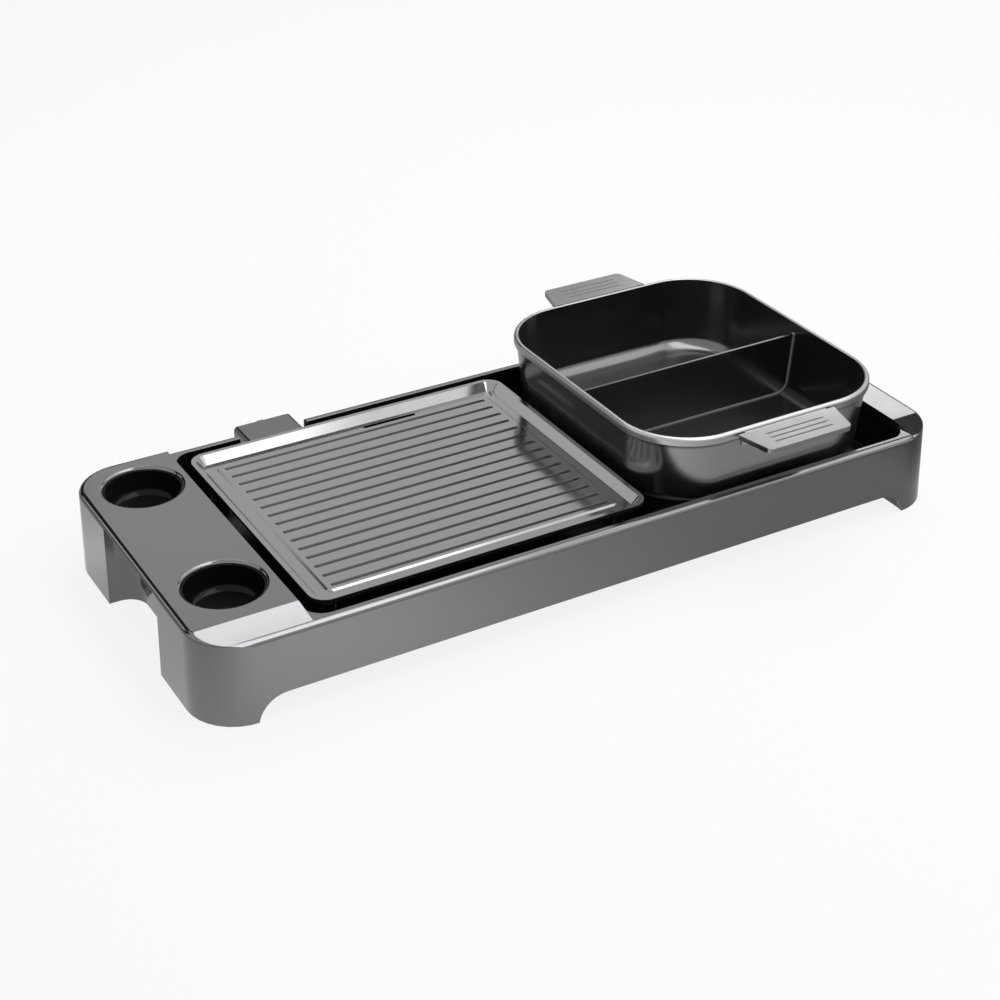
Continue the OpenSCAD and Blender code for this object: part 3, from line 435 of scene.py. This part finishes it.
def finishOf(name, look):
    mat = bpy.data.materials.new(name)
    mat.use_nodes = True
    tree = mat.node_tree
    shader = tree.nodes["Principled BSDF"]
    for label, value in look["shader"].items():
        shader.inputs[label].default_value = value
    coords = tree.nodes.new("ShaderNodeTexCoord").outputs["Object"]

    def effect(kind, **values):
        node = tree.nodes.new("ShaderNodeGroup")
        node.node_tree = effects[kind]
        tree.links.new(coords, node.inputs["Vector"])
        for label, value in values.items():
            node.inputs[label].default_value = value
        return node.outputs[0]

    smudge = effect("smudges", Scale=look["smudgeScale"])
    mask = smudge
    if "fleckScale" in look:
        fleck = effect("fleck", Scale=look["fleckScale"], Amount=look["fleckAmount"])
        mask = maths(tree, "MAXIMUM", maths(tree, "MULTIPLY", smudge, finishing["smudgeShare"]), fleck)
    color = blend(tree, look["color"], look["secondColor"], mask)
    if "marks" in look:
        markColor, markMask = look["marks"]
        color = blend(tree, color, markColor, markMask(tree, coords))
    tree.links.new(color, shader.inputs["Base Color"])
    low, high = look["roughness"]
    tree.links.new(spread(tree, smudge, 0.0, finishing["smudgeFull"], low, high), shader.inputs["Roughness"])
    bump = tree.nodes.new("ShaderNodeBump")
    bump.inputs["Strength"].default_value = look["bump"]
    bump.inputs["Distance"].default_value = finishing["relief"]
    if "brush" in look:
        height = effect("brush", Stretch=look["brush"])
    else:
        height = effect("grain", Scale=look["grainScale"])
    tree.links.new(height, bump.inputs["Height"])
    tree.links.new(bump.outputs["Normal"], shader.inputs["Normal"])
    return mat


finishes = {
    "lacquer": finishOf("gunmetalLacquer", {
        "color": (0.172, 0.172, 0.175), "secondColor": (0.185, 0.185, 0.189), "roughness": (0.10, 0.15),
        "shader": {"Metallic": 0.95, "Coat Weight": 0.25, "Coat Roughness": 0.05},
        "smudgeScale": 5, "fleckScale": 3200, "fleckAmount": 0.25, "grainScale": 420, "bump": 0.012}),
    "glossBlack": finishOf("glossBlack", {
        "color": (0.006, 0.006, 0.0065), "secondColor": (0.010, 0.010, 0.011), "roughness": (0.06, 0.14),
        "shader": {"Specular IOR Level": 0.55}, "smudgeScale": 12, "grainScale": 300, "bump": 0.02}),
    "cup": finishOf("cupBlack", {
        "color": (0.006, 0.006, 0.0065), "secondColor": (0.012, 0.012, 0.013), "roughness": (0.10, 0.18),
        "shader": {"Specular IOR Level": 0.12}, "smudgeScale": 14, "grainScale": 300, "bump": 0.02}),
    "mattBlack": finishOf("mattBlackPlastic", {
        "color": (0.018, 0.018, 0.018), "secondColor": (0.03, 0.03, 0.03), "roughness": (0.5, 0.68),
        "shader": {}, "smudgeScale": 15, "grainScale": 1400, "bump": 0.35}),
    "shield": finishOf("darkSheet", {
        "color": (0.10, 0.10, 0.102), "secondColor": (0.15, 0.15, 0.15), "roughness": (0.25, 0.4),
        "shader": {"Metallic": 0.9}, "smudgeScale": 10, "brush": (9.0, 700.0, 700.0), "bump": 0.08}),
    "plate": finishOf("plateCoating", {
        "color": (0.27, 0.27, 0.273), "secondColor": (0.35, 0.35, 0.353), "roughness": (0.11, 0.16),
        "shader": {"Metallic": 0.95, "Coat Weight": 0.05, "Coat Roughness": 0.15},
        "smudgeScale": 6, "fleckScale": 1800, "fleckAmount": 0.14, "grainScale": 1300, "bump": 0.03,
        # marks: painted shade along the grooves
        "marks": (grooves["color"], paintedGrooveShade)}),
    "pot": finishOf("potCoating", {
        "color": (0.135, 0.135, 0.137), "secondColor": (0.16, 0.16, 0.162), "roughness": (0.18, 0.24),
        "shader": {"Metallic": 0.95, "Coat Weight": 0.15, "Coat Roughness": 0.1},
        "smudgeScale": 6, "fleckScale": 2200, "fleckAmount": 0.12, "grainScale": 900, "bump": 0.015}),
    # the pot's own coating again, painted lighter for the outside to stand for the light on its outer walls,
    # with the painted shadow under the rim
    "potOutsideLit": finishOf("potCoatingLitCopy", {
        "color": (0.28, 0.28, 0.283), "secondColor": (0.31, 0.31, 0.313), "roughness": (0.16, 0.22),
        "shader": {"Metallic": 0.95, "Coat Weight": 0.25, "Coat Roughness": 0.05},
        "smudgeScale": 6, "fleckScale": 3200, "fleckAmount": 0.25, "grainScale": 420, "bump": 0.012,
        "marks": (underRimShadow["color"], paintedRimShadow)}),
    "rim": finishOf("rimMetal", {
        "color": (0.42, 0.42, 0.422), "secondColor": (0.47, 0.47, 0.472), "roughness": (0.27, 0.34),
        "shader": {"Metallic": 1.0}, "smudgeScale": 14, "grainScale": 800, "bump": 0.02}),
    "handle": finishOf("handleMetal", {
        "color": (0.25, 0.25, 0.253), "secondColor": (0.34, 0.34, 0.342), "roughness": (0.17, 0.25),
        "shader": {"Metallic": 0.95}, "smudgeScale": 16, "fleckScale": 2400, "fleckAmount": 0.2,
        "grainScale": 1500, "bump": 0.06}),
    "divider": finishOf("dividerCoating", {
        "color": (0.10, 0.10, 0.102), "secondColor": (0.125, 0.125, 0.127), "roughness": (0.18, 0.26),
        "shader": {"Metallic": 0.95}, "smudgeScale": 6, "fleckScale": 2200, "fleckAmount": 0.12,
        "grainScale": 900, "bump": 0.015}),
    "seal": finishOf("sealRubber", {
        "color": (0.30, 0.30, 0.30), "secondColor": (0.36, 0.36, 0.36), "roughness": (0.35, 0.5),
        "shader": {}, "smudgeScale": 30, "grainScale": 900, "bump": 0.06}),
    "controller": finishOf("controllerLacquer", {
        "color": (0.145, 0.145, 0.147), "secondColor": (0.175, 0.175, 0.177), "roughness": (0.18, 0.26),
        "shader": {"Metallic": 0.9, "Coat Weight": 0.15}, "smudgeScale": 12, "fleckScale": 3000,
        "fleckAmount": 0.25, "grainScale": 700, "bump": 0.03}),
    "steel": finishOf("brightSteel", {
        "color": (0.50, 0.50, 0.50), "secondColor": (0.42, 0.42, 0.41), "roughness": (0.22, 0.36),
        "shader": {"Metallic": 1.0}, "smudgeScale": 40, "brush": (900.0, 900.0, 30.0), "bump": 0.12}),
    "heater": finishOf("heaterTube", {
        "color": (0.18, 0.17, 0.16), "secondColor": (0.10, 0.085, 0.07), "roughness": (0.35, 0.55),
        "shader": {"Metallic": 0.9}, "smudgeScale": 25, "grainScale": 600, "bump": 0.15}),
    "rubber": finishOf("blackRubber", {
        "color": (0.02, 0.02, 0.02), "secondColor": (0.045, 0.044, 0.042), "roughness": (0.65, 0.85),
        "shader": {}, "smudgeScale": 30, "grainScale": 1600, "bump": 0.3}),
    "lamp": finishOf("redLens", {
        "color": (0.42, 0.02, 0.015), "secondColor": (0.5, 0.04, 0.03), "roughness": (0.08, 0.16),
        "shader": {"Transmission Weight": 0.45}, "smudgeScale": 60, "grainScale": 500, "bump": 0.04}),
}
finishBySlot = {
    "body_gunmetal": "lacquer", "gloss_black": "glossBlack", "matt_black": "mattBlack",
    "shield_steel": "shield", "screw_steel": "steel", "foot_rubber": "rubber", "plate_coating": "plate",
    "heater_tube": "heater", "terminal_metal": "steel", "controller_shell": "controller",
    "lamp_red": "lamp", "pot_coating": "pot", "rim_metal": "rim", "divider_coating": "divider",
    "seal_grey": "seal", "handle_metal": "handle",
}
for nodeName, node in nodes.items():
    paint(node, finishes[finishBySlot[slotOf[nodeName]]])
print("finishes:", len(finishes))


def dress(piece, nodeName):
    place(piece, nodeName, finishes[finishBySlot[slotOf[nodeName]]])


# the base: shell, wells, tub

base = {"railTop": 72.5 * mm, "plateauTop": 75.7 * mm, "openHalf": 143 * mm, "openLeft": -259.2 * mm,
        "openRight": 319 * mm, "railRound": 3.2 * mm, "plateauRound": 2.4 * mm, "roundSteps": 4,
        "edge": 0.7 * mm, "creaseY": 120.52 * mm, "fall": 0.125, "wellRadius": 32.9 * mm}


def railInside(a, b):
    return all(near(p.z, base["railTop"]) and near(abs(p.y), base["openHalf"]) for p in (a, b))


def plateauInside(a, b):
    onLeft = all(near(p.x, base["openLeft"]) for p in (a, b))
    onRight = all(near(p.x, base["openRight"]) for p in (a, b))
    return (onLeft or onRight) and all(near(p.z, base["plateauTop"]) for p in (a, b))


def onBand(p):  # the flat bands along which the deck falls to the front and to the back
    beyond = abs(p.y) - base["creaseY"]
    return beyond > -2 * tight and near(p.z, base["plateauTop"] - base["fall"] * beyond, tight)


def bandOutline(a, b):
    return onBand(a) and onBand(b)


shellRounds = [(railInside, base["railRound"], base["roundSteps"]),
               (plateauInside, base["plateauRound"], base["roundSteps"]), (bandOutline, 0, 0)]
dress(polishedCopy("base_shell", base["edge"], 2, shellRounds), "base_shell")

cup = {"round": 7 * mm, "roundSteps": 8, "sides": 96, "wall": 1.2 * mm, "taper": 0.93, "edge": 0.25 * mm}


def sauceCup(nodeName):
    low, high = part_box(nodeName)
    x, y, z = middleOf(low, high)
    clearSelection()
    bpy.ops.mesh.primitive_cylinder_add(vertices=cup["sides"], radius=base["wellRadius"],
                                        depth=high[2] - low[2], location=(x, y, z), end_fill_type="NGON")
    piece = bpy.context.object
    settle(piece)
    resizeAt(piece, lambda v: near(v.z, low[2]), (cup["taper"], cup["taper"], 1), (x, y, low[2]))
    openTop(piece)
    roundFloor(piece, low[2], cup["round"], cup["roundSteps"])
    apply(piece, "SOLIDIFY", thickness=cup["wall"], offset=-1, use_even_offset=True)
    soften(piece, cup["edge"])
    return piece


for nodeName in ("well_cup_rear", "well_cup_front"):
    sauce = sauceCup(nodeName)
    dress(sauce, nodeName)
    paint(sauce, finishes["cup"])

tub = {"corner": 18 * mm, "cornerSteps": 12, "floorRound": 5 * mm, "floorSteps": 5, "wall": 2 * mm,
       "edge": 0.4 * mm, "notchGap": 4.6 * mm, "notchFront": 6 * mm, "notchBelow": 2 * mm,
       "notchAbove": 9 * mm}


def trayTub():
    low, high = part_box("inner_tray")
    wall = tub["wall"]
    piece = roundedBlock("tub", (low[0] + wall, low[1] + wall, low[2] + wall),
                         (high[0] - wall, high[1] - wall, high[2]), tub["corner"], tub["cornerSteps"])
    openTop(piece)
    roundFloor(piece, low[2] + wall, tub["floorRound"], tub["floorSteps"])
    apply(piece, "SOLIDIFY", thickness=wall, offset=1, use_even_offset=True)
    gap, front = tub["notchGap"], base["openHalf"] - tub["notchFront"]
    for name in ("plate_controller", "pot_controller"):
        boxLow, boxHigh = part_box(name)
        carve(piece, cube("notchCutter", (boxLow[0] - gap, front, boxLow[2] - tub["notchBelow"]),
                          (boxHigh[0] + gap, boxHigh[1], high[2] + tub["notchAbove"])))
    soften(piece, tub["edge"])
    return piece


dress(trayTub(), "inner_tray")
sheetEdge = 0.3 * mm
for nodeName in ("plate_heat_shield", "pot_heat_shield", "bottom_cover", "end_caps"):
    dress(polishedCopy(nodeName, sheetEdge), nodeName)
print("base done")


# screws, one of each kind modelled and copied to its places, and the rubber pads

screw = {"head": 1.6 * mm, "headEdge": 0.3 * mm, "slot": 0.55 * mm, "slotReach": 1.9 * mm,
         "slotDepth": 0.7 * mm, "shankSides": 20, "shankEdge": 0.15 * mm}


def screwHead(low, high, headUp):
    radius = (high[0] - low[0]) / 2
    x, y = middleOf(low, high)[:2]
    top, tip = (high[2], low[2]) if headUp else (low[2], high[2])
    seat = top - screw["head"] if headUp else top + screw["head"]
    head = rod("head", (x, y, seat), (x, y, top), radius)
    for reach in ((screw["slotReach"], screw["slot"]), (screw["slot"], screw["slotReach"])):
        carve(head, cube("slotCutter", (x - reach[0], y - reach[1], top - screw["slotDepth"]),
                         (x + reach[0], y + reach[1], top + screw["slotDepth"])))
    soften(head, screw["headEdge"])
    shank = rod("shank", (x, y, seat), (x, y, tip), radius / 2, screw["shankSides"])
    soften(shank, screw["shankEdge"], 1)
    return joinAll([head, shank], "screw")


def screwSet(nodeName, headUp):
    boxes = solids(nodeName)
    first = screwHead(*boxes[0], headUp)
    made = [first]
    for low, high in boxes[1:]:
        twin = duplicateOf(first)
        activate(twin)
        bpy.ops.transform.translate(value=[a - b for a, b in zip(low, boxes[0][0])])
        settle(twin)
        made.append(twin)
    dress(joinAll(made, "screws"), nodeName)


for nodeName, headUp in (("shield_screws", True), ("cover_screws", False), ("cap_screws", False),
                         ("handle_screws", False), ("pot_base_screws", False)):
    screwSet(nodeName, headUp)


pad = {"sides": 48, "inset": 0.3, "dish": 0.4 * mm, "edgeSteps": 3}


def pads(nodeName, edge):  # rubber discs with a round edge and a shallow dish underneath
    made = []
    for low, high in solids(nodeName):
        radius = (high[0] - low[0]) / 2
        x, y = middleOf(low, high)[:2]
        piece = rod("pad", (x, y, low[2]), (x, y, high[2]), radius, pad["sides"])
        editPart(piece, "FACE", lambda c, n: n.z < -level)
        bpy.ops.mesh.inset(thickness=radius * pad["inset"])
        bpy.ops.transform.translate(value=(0, 0, pad["dish"]))
        leaveEdit()
        soften(piece, edge, pad["edgeSteps"])
        made.append(piece)
    dress(joinAll(made, "pads"), nodeName)


for nodeName, edge in (("rubber_feet", 0.4 * mm), ("plate_rests", 0.8 * mm), ("pot_rests", 0.8 * mm)):
    pads(nodeName, edge)
print("screws and pads done")


# the grill plate

plate = {"edge": 0.45 * mm, "sharp": 15, "smooth": 25, "top": 69.3 * mm, "topHalfX": 129.7 * mm,
         "topHalfY": 108.2 * mm, "topCorner": 16 * mm, "steeper": 2.0 * mm}


def inGroove(v):
    line = v.y / grooves["pitch"]
    onLine = abs(line - round(line)) * grooves["pitch"] < grooves["halfWidth"]
    return onLine and abs(v.x - grooves["centerX"]) < grooves["halfLength"]


def platformEdge(v):  # the outline of the raised platform's top
    x, y = abs(v.x - grooves["centerX"]), abs(v.y)
    onSide = near(x, plate["topHalfX"]) or near(y, plate["topHalfY"])
    atCorner = x > plate["topHalfX"] - plate["topCorner"] and y > plate["topHalfY"] - plate["topCorner"]
    return near(v.z, plate["top"], tight) and (onSide or atCorner and not inGroove(v))


def grillPlate():
    piece = mergedCopy("grill_plate")
    leaveEdit()
    factors = (1 + plate["steeper"] / plate["topHalfX"], 1 + plate["steeper"] / plate["topHalfY"], 1)
    resizeAt(piece, platformEdge, factors, (grooves["centerX"], 0, plate["top"]))
    editAll(piece)
    dissolveFlat()
    soften(piece, plate["edge"], 2, plate["sharp"], plate["smooth"])
    return piece


dress(grillPlate(), "grill_plate")
socketEdge, pinEdge = 0.35 * mm, 0.3 * mm
for nodeName in ("plate_inlet", "pot_inlet", "plate_gland", "pot_gland"):
    dress(polishedCopy(nodeName, socketEdge), nodeName)
for nodeName in ("plate_terminals", "pot_terminals", "plate_probe", "pot_probe", "plate_lamp", "pot_lamp"):
    dress(polishedCopy(nodeName, pinEdge), nodeName)
print("grill plate and fittings done")


# the pot: body, rim band, divider with its seal

pot = {"centerX": 179.1 * mm, "rimHalfX": 123.5 * mm, "rimHalfY": 142.5 * mm, "rimCorner": 63.7 * mm,
       "rimWidth": 4.3 * mm, "rimTop": 125.8 * mm, "bandHeight": 7.5 * mm, "wallTop": 125.0 * mm,
       "floorZ": 57.2 * mm, "wall": 2.4 * mm, "lean": 0.085, "floorRound": 12 * mm, "floorSteps": 12,
       "cornerSteps": 24, "lining": 0.4 * mm, "skinGap": 0.6 * mm, "ringDepth": 1 * mm,
       "bandOverlap": 0.25 * mm, "beadRound": 3.0 * mm, "beadSteps": 7, "bandEdge": 0.9 * mm,
       "bandSteps": 4, "bandSharp": 50}


def potBody():
    halfX = pot["rimHalfX"] - pot["rimWidth"]
    halfY = pot["rimHalfY"] - pot["rimWidth"]
    x = pot["centerX"]
    piece = roundedBlock("potBody", (x - halfX, -halfY, pot["floorZ"]), (x + halfX, halfY, pot["wallTop"]),
                         pot["rimCorner"] - pot["rimWidth"], pot["cornerSteps"])
    inset = pot["lean"] * (pot["rimTop"] - pot["floorZ"])
    resizeAt(piece, lambda v: near(v.z, pot["floorZ"]), (1 - inset / halfX, 1 - inset / halfY, 1),
             (x, 0, pot["floorZ"]))
    openTop(piece)
    roundFloor(piece, pot["floorZ"], pot["floorRound"], pot["floorSteps"])
    outside = duplicateOf(piece)
    editAll(outside)
    bpy.ops.transform.shrink_fatten(value=pot["skinGap"], use_even_offset=True)
    leaveEdit()
    apply(piece, "SOLIDIFY", thickness=pot["lining"], offset=1, use_even_offset=True)
    apply(outside, "SOLIDIFY", thickness=pot["wall"] - pot["skinGap"], offset=1, use_even_offset=True)
    soften(piece, 0)
    soften(outside, 0)
    return piece, outside


def onOuterRing(p):
    qx = max(abs(p.x - pot["centerX"]) - (pot["rimHalfX"] - pot["rimCorner"]), 0)
    qy = max(abs(p.y) - (pot["rimHalfY"] - pot["rimCorner"]), 0)
    return math.hypot(qx, qy) > pot["rimCorner"] - pot["ringDepth"]


def rimBand():
    x, top, low = pot["centerX"], pot["rimTop"], pot["rimTop"] - pot["bandHeight"]
    piece = roundedBlock("rimBand", (x - pot["rimHalfX"], -pot["rimHalfY"], low),
                         (x + pot["rimHalfX"], pot["rimHalfY"], top), pot["rimCorner"], pot["cornerSteps"])
    editPart(piece, "FACE", lambda c, n: abs(n.z) > level)
    bpy.ops.mesh.inset(thickness=pot["rimWidth"] - pot["bandOverlap"], use_boundary=True)
    bpy.ops.mesh.delete(type="FACE")
    bpy.ops.mesh.select_mode(type="EDGE")
    bpy.ops.mesh.select_all(action="DESELECT")
    bpy.ops.mesh.select_non_manifold()
    bpy.ops.mesh.bridge_edge_loops()
    bpy.ops.mesh.select_all(action="SELECT")
    bpy.ops.mesh.normals_make_consistent(inside=False)
    leaveEdit()
    editPart(piece, "EDGE", lambda a, b: all(near(p.z, top) and onOuterRing(p) for p in (a, b)))
    bpy.ops.mesh.bevel(offset=pot["beadRound"], segments=pot["beadSteps"], affect="EDGES")
    leaveEdit()
    soften(piece, pot["bandEdge"], pot["bandSteps"], pot["bandSharp"])
    return piece


lining, outside = potBody()
dress(lining, "pot_shell")
dress(outside, "pot_shell")
lining.name, outside.name = "pot_lining", "pot_outside"
# the outer skin takes the lighter copy of the coating: painted light on the pot's outer walls
paint(outside, finishes["potOutsideLit"])
dress(rimBand(), "pot_rim_band")
for nodeName, edge in (("pot_divider", 0.3 * mm), ("divider_seal", 0.25 * mm), ("pot_base_cover", 0.5 * mm)):
    dress(polishedCopy(nodeName, edge), nodeName)

grip = {"rootWidth": 99.4 * mm, "tipWidth": 83.5 * mm, "corner": 4 * mm, "cornerSteps": 8, "edge": 0.5 * mm,
        "edgeSteps": 3, "grooveLength": 61 * mm, "grooveHalf": 0.95 * mm, "grooveDepth": 0.8 * mm,
        "endRound": 0.98, "endSteps": 5, "above": 3 * mm, "pitch": 7 * mm, "step": 0.4 * mm,
        "bracketEdge": 0.4 * mm}


def handle(nodeName, side):
    low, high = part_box(nodeName)
    x, middle = middleOf(low, high)[:2]
    piece = cube("handle", low, high)
    tipY = high[1] if side > 0 else low[1]
    narrow = grip["tipWidth"] / grip["rootWidth"]
    resizeAt(piece, lambda v: near(v.y, tipY), (narrow, 1, 1), (x, tipY, low[2]))
    tall = (high[2] - low[2]) / 2
    editPart(piece, "EDGE", lambda a, b: abs(a.z - b.z) > tall and near(a.y, tipY))
    bpy.ops.mesh.bevel(offset=grip["corner"], segments=grip["cornerSteps"], affect="EDGES")
    leaveEdit()
    halfX, halfY = grip["grooveLength"] / 2 - grip["grooveHalf"], grip["grooveHalf"]
    for k in (-1, 0, 1):
        grooveX, grooveY = x + side * k * grip["step"], middle + side * k * grip["pitch"]
        carve(piece, roundedBlock("grooveCutter",
                                  (grooveX - halfX, grooveY - halfY, high[2] - grip["grooveDepth"]),
                                  (grooveX + halfX, grooveY + halfY, high[2] + grip["above"]),
                                  halfY * grip["endRound"], grip["endSteps"]))
    soften(piece, grip["edge"], grip["edgeSteps"])
    return piece


for nodeName, side in (("pot_handle_front", -1), ("pot_handle_rear", 1)):
    dress(handle(nodeName, side), nodeName)
for nodeName in ("pot_bracket_front", "pot_bracket_rear"):
    dress(polishedCopy(nodeName, grip["bracketEdge"]), nodeName)
print("pot done")


# plug-in controllers and their dials

controller = {"edge": 0.8 * mm, "edgeSteps": 3}
for nodeName in ("plate_controller", "pot_controller"):
    dress(polishedCopy(nodeName, controller["edge"], controller["edgeSteps"]), nodeName)

dial = {"depth": 7.5 * mm, "sides": 96, "edge": 0.25 * mm, "ribs": 24, "ribDepth": 0.45 * mm,
        "ribStart": 1.2 * mm, "ribSides": 10, "barHeight": 2.5 * mm, "barHalf": 2.5 * mm, "barReach": 9 * mm,
        "barSink": 0.5 * mm, "barRound": 0.8 * mm, "barSteps": 3, "mark": 0.5 * mm, "markStart": 3 * mm,
        "markEnd": 10 * mm, "shaftRadius": 3 * mm, "shaftSink": 1 * mm, "shaftEdge": 0.3 * mm}


def knobBar(x, z, back):  # the raised bar on the dial's face, with its pointer mark
    half, reach, mark = dial["barHalf"], dial["barReach"], dial["mark"]
    bar = cube("knobBar", (x - half, back - dial["barHeight"] - dial["barSink"], z - reach),
               (x + half, back, z + reach))
    carve(bar, cube("markCutter", (x - mark, back - mark, z + dial["markStart"]),
                    (x + mark, back + mark, z + dial["markEnd"])))
    soften(bar, dial["barRound"], dial["barSteps"])
    return bar


def knob(nodeName):
    low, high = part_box(nodeName)
    x, z = middleOf(low, high)[::2]
    radius = (high[0] - low[0]) / 2
    front, back = high[1] - dial["depth"], high[1]
    body = rod("knobBody", (x, front, z), (x, back - dial["barHeight"], z), radius, dial["sides"])
    for k in range(dial["ribs"]):
        turn = 2 * math.pi * k / dial["ribs"]
        px, pz = x + radius * math.cos(turn), z + radius * math.sin(turn)
        carve(body, rod("ribCutter", (px, front + dial["ribStart"], pz), (px, back, pz), dial["ribDepth"],
                        dial["ribSides"]))
    soften(body, dial["edge"])
    bar = knobBar(x, z, back)
    shaft = rod("knobShaft", (x, low[1], z), (x, front + dial["shaftSink"], z), dial["shaftRadius"])
    soften(shaft, dial["shaftEdge"])
    return joinAll([body, bar, shaft], "knob")


for nodeName in ("plate_dial", "pot_dial"):
    dress(knob(nodeName), nodeName)
print("controllers done")


# camera, floor and light

view = {"place": (-0.74307, -1.27548, 0.89736), "look": (0.43504, 0.75031, -0.49777), "lens": 70.50,
        "sensor": 36.0, "shiftX": -0.01033, "shiftY": -0.02418, "farthest": 50}
clearSelection()
bpy.ops.object.camera_add(location=view["place"])
camera = bpy.context.object
camera.rotation_euler = Vector(view["look"]).to_track_quat("-Z", "Y").to_euler()
camera.data.lens = view["lens"]
camera.data.sensor_width = view["sensor"]
camera.data.shift_x = view["shiftX"]
camera.data.shift_y = view["shiftY"]
camera.data.clip_end = view["farthest"]
bpy.context.scene.camera = camera

studio = {"floorSize": 60, "floorColor": 0.86, "floorRoughness": 0.7, "floorSpecular": 0.1,
          "floorGlow": 0.86, "worldFill": 0.3, "cardColor": 0.01, "cardRoughness": 0.9,
          "around": 0.35, "shadeStart": 0.36, "shadeEnd": 0.44, "shadeLevel": 0.2,
          "pools": ((-0.22, -0.25, 0.2, 1.1), (-0.375, 0.15, 0.06, 0.4))}  # x, y, size, brightness


def seenDirectly(tree):  # 1 for what the camera, a mirror or glass looks at
    path = tree.nodes.new("ShaderNodeLightPath")
    mirrored = maths(tree, "MAXIMUM", path.outputs["Is Glossy Ray"], path.outputs["Is Transmission Ray"])
    return maths(tree, "MAXIMUM", path.outputs["Is Camera Ray"], mirrored)


def floorPool(tree):  # mirrors see pools of light on the floor, the camera sees plain white
    axes = axesOf(tree, tree.nodes.new("ShaderNodeTexCoord").outputs["Object"])
    light = studio["around"]
    for poolX, poolY, size, bright in studio["pools"]:
        x = maths(tree, "DIVIDE", maths(tree, "SUBTRACT", axes["X"], poolX), size)
        y = maths(tree, "DIVIDE", maths(tree, "SUBTRACT", axes["Y"], poolY), size)
        reach = maths(tree, "ADD", maths(tree, "MULTIPLY", x, x), maths(tree, "MULTIPLY", y, y))
        light = maths(tree, "ADD", maths(tree, "DIVIDE", bright, maths(tree, "ADD", reach, 1)), light)
    shade = spread(tree, axes["X"], studio["shadeStart"], studio["shadeEnd"], 1.0, studio["shadeLevel"])
    pool = maths(tree, "MULTIPLY", light, shade)
    direct = tree.nodes.new("ShaderNodeLightPath").outputs["Is Camera Ray"]
    mirrored = maths(tree, "MULTIPLY", pool, maths(tree, "SUBTRACT", 1.0, direct))
    return maths(tree, "ADD", mirrored, direct)


def plainFinish(name, grey, roughness):
    mat = bpy.data.materials.new(name)
    mat.use_nodes = True
    shader = mat.node_tree.nodes["Principled BSDF"]
    shader.inputs["Base Color"].default_value = (grey, grey, grey, 1)
    shader.inputs["Roughness"].default_value = roughness
    return mat


clearSelection()
bpy.ops.mesh.primitive_plane_add(size=studio["floorSize"], location=(0, 0, 0))
floor = bpy.context.object
floor.name = "floor"
floorMat = plainFinish("paleFloor", studio["floorColor"], studio["floorRoughness"])
floorTree = floorMat.node_tree
floorShader = floorTree.nodes["Principled BSDF"]
floorShader.inputs["Specular IOR Level"].default_value = studio["floorSpecular"]
glow = floorTree.nodes.new("ShaderNodeEmission")
floorTree.links.new(floorPool(floorTree), glow.inputs["Strength"])
mix = floorTree.nodes.new("ShaderNodeMixShader")
seen = maths(floorTree, "MULTIPLY", seenDirectly(floorTree), studio["floorGlow"])
floorTree.links.new(seen, mix.inputs["Fac"])
floorTree.links.new(floorShader.outputs["BSDF"], mix.inputs[1])
floorTree.links.new(glow.outputs["Emission"], mix.inputs[2])
floorTree.links.new(mix.outputs["Shader"], floorTree.nodes["Material Output"].inputs["Surface"])
paint(floor, floorMat)

world = bpy.data.worlds.new("studioWorld")
bpy.context.scene.world = world
world.use_nodes = True
worldTree = world.node_tree
sky = blend(worldTree, (studio["worldFill"],) * 3, (1, 1, 1), seenDirectly(worldTree))
worldTree.links.new(sky, worldTree.nodes["Background"].inputs["Color"])


def softbox(name, place, aim, size, brightness):  # brightness as seen in a mirror, the white world is 1
    clearSelection()
    bpy.ops.object.light_add(type="AREA", location=place)
    lamp = bpy.context.object
    lamp.name = name
    lamp.data.shape = "RECTANGLE"
    lamp.data.size, lamp.data.size_y = size
    lamp.data.energy = brightness * math.pi * size[0] * size[1]
    lamp.rotation_euler = (Vector(aim) - Vector(place)).to_track_quat("-Z", "Y").to_euler()
    lamp.visible_camera = False


lamps = {
    "overheadStrip": ((0.29, -0.12, 1.6), (0.29, -0.12, 0), (0.68, 3.1), 3.3),
    "overheadHalf": ((0.80, -0.12, 1.6), (0.80, -0.12, 0), (0.34, 3.1), 0.9),
    "overheadDim": ((1.37, -0.12, 1.6), (1.37, -0.12, 0), (0.8, 3.1), 1.4),
    "backRight": ((2.25, 2.38, 1.6), (2.25, 2.38, 0), (0.7, 0.85), 2.7),
    "backLeft": ((-1.5, 2.0, 1.0), (-0.35, 0, 0.07), (0.8, 0.7), 1.2),
}
for name, settings in lamps.items():
    softbox(name, *settings)

cardMat = plainFinish("darkCard", studio["cardColor"], studio["cardRoughness"])


def darkCard(name, low, high):  # a dark panel of the studio, seen only in reflections
    card = cube(name, low, high)
    paint(card, cardMat)
    card.visible_camera = card.visible_diffuse = card.visible_shadow = False


cards = {
    "lowCard": ((-0.2, 3.0, 0.5), (4.6, 3.01, 1.4)),
    "tallCard": ((-3.2, 2.2, 0.25), (0.2, 2.21, 2.3)),
    "stripEnd": ((-0.1, 1.45, 1.59), (1.5, 1.75, 1.6)),
    "bandCard": ((1.55, 0.8, 1.59), (2.15, 1.75, 1.6)),
    "channelCard": ((-0.1, 0.64, 1.58), (0.66, 1.05, 1.59)),
}
for name, (low, high) in cards.items():
    darkCard(name, low, high)

bpy.context.scene.view_settings.view_transform = "Standard"
print("scene ready")
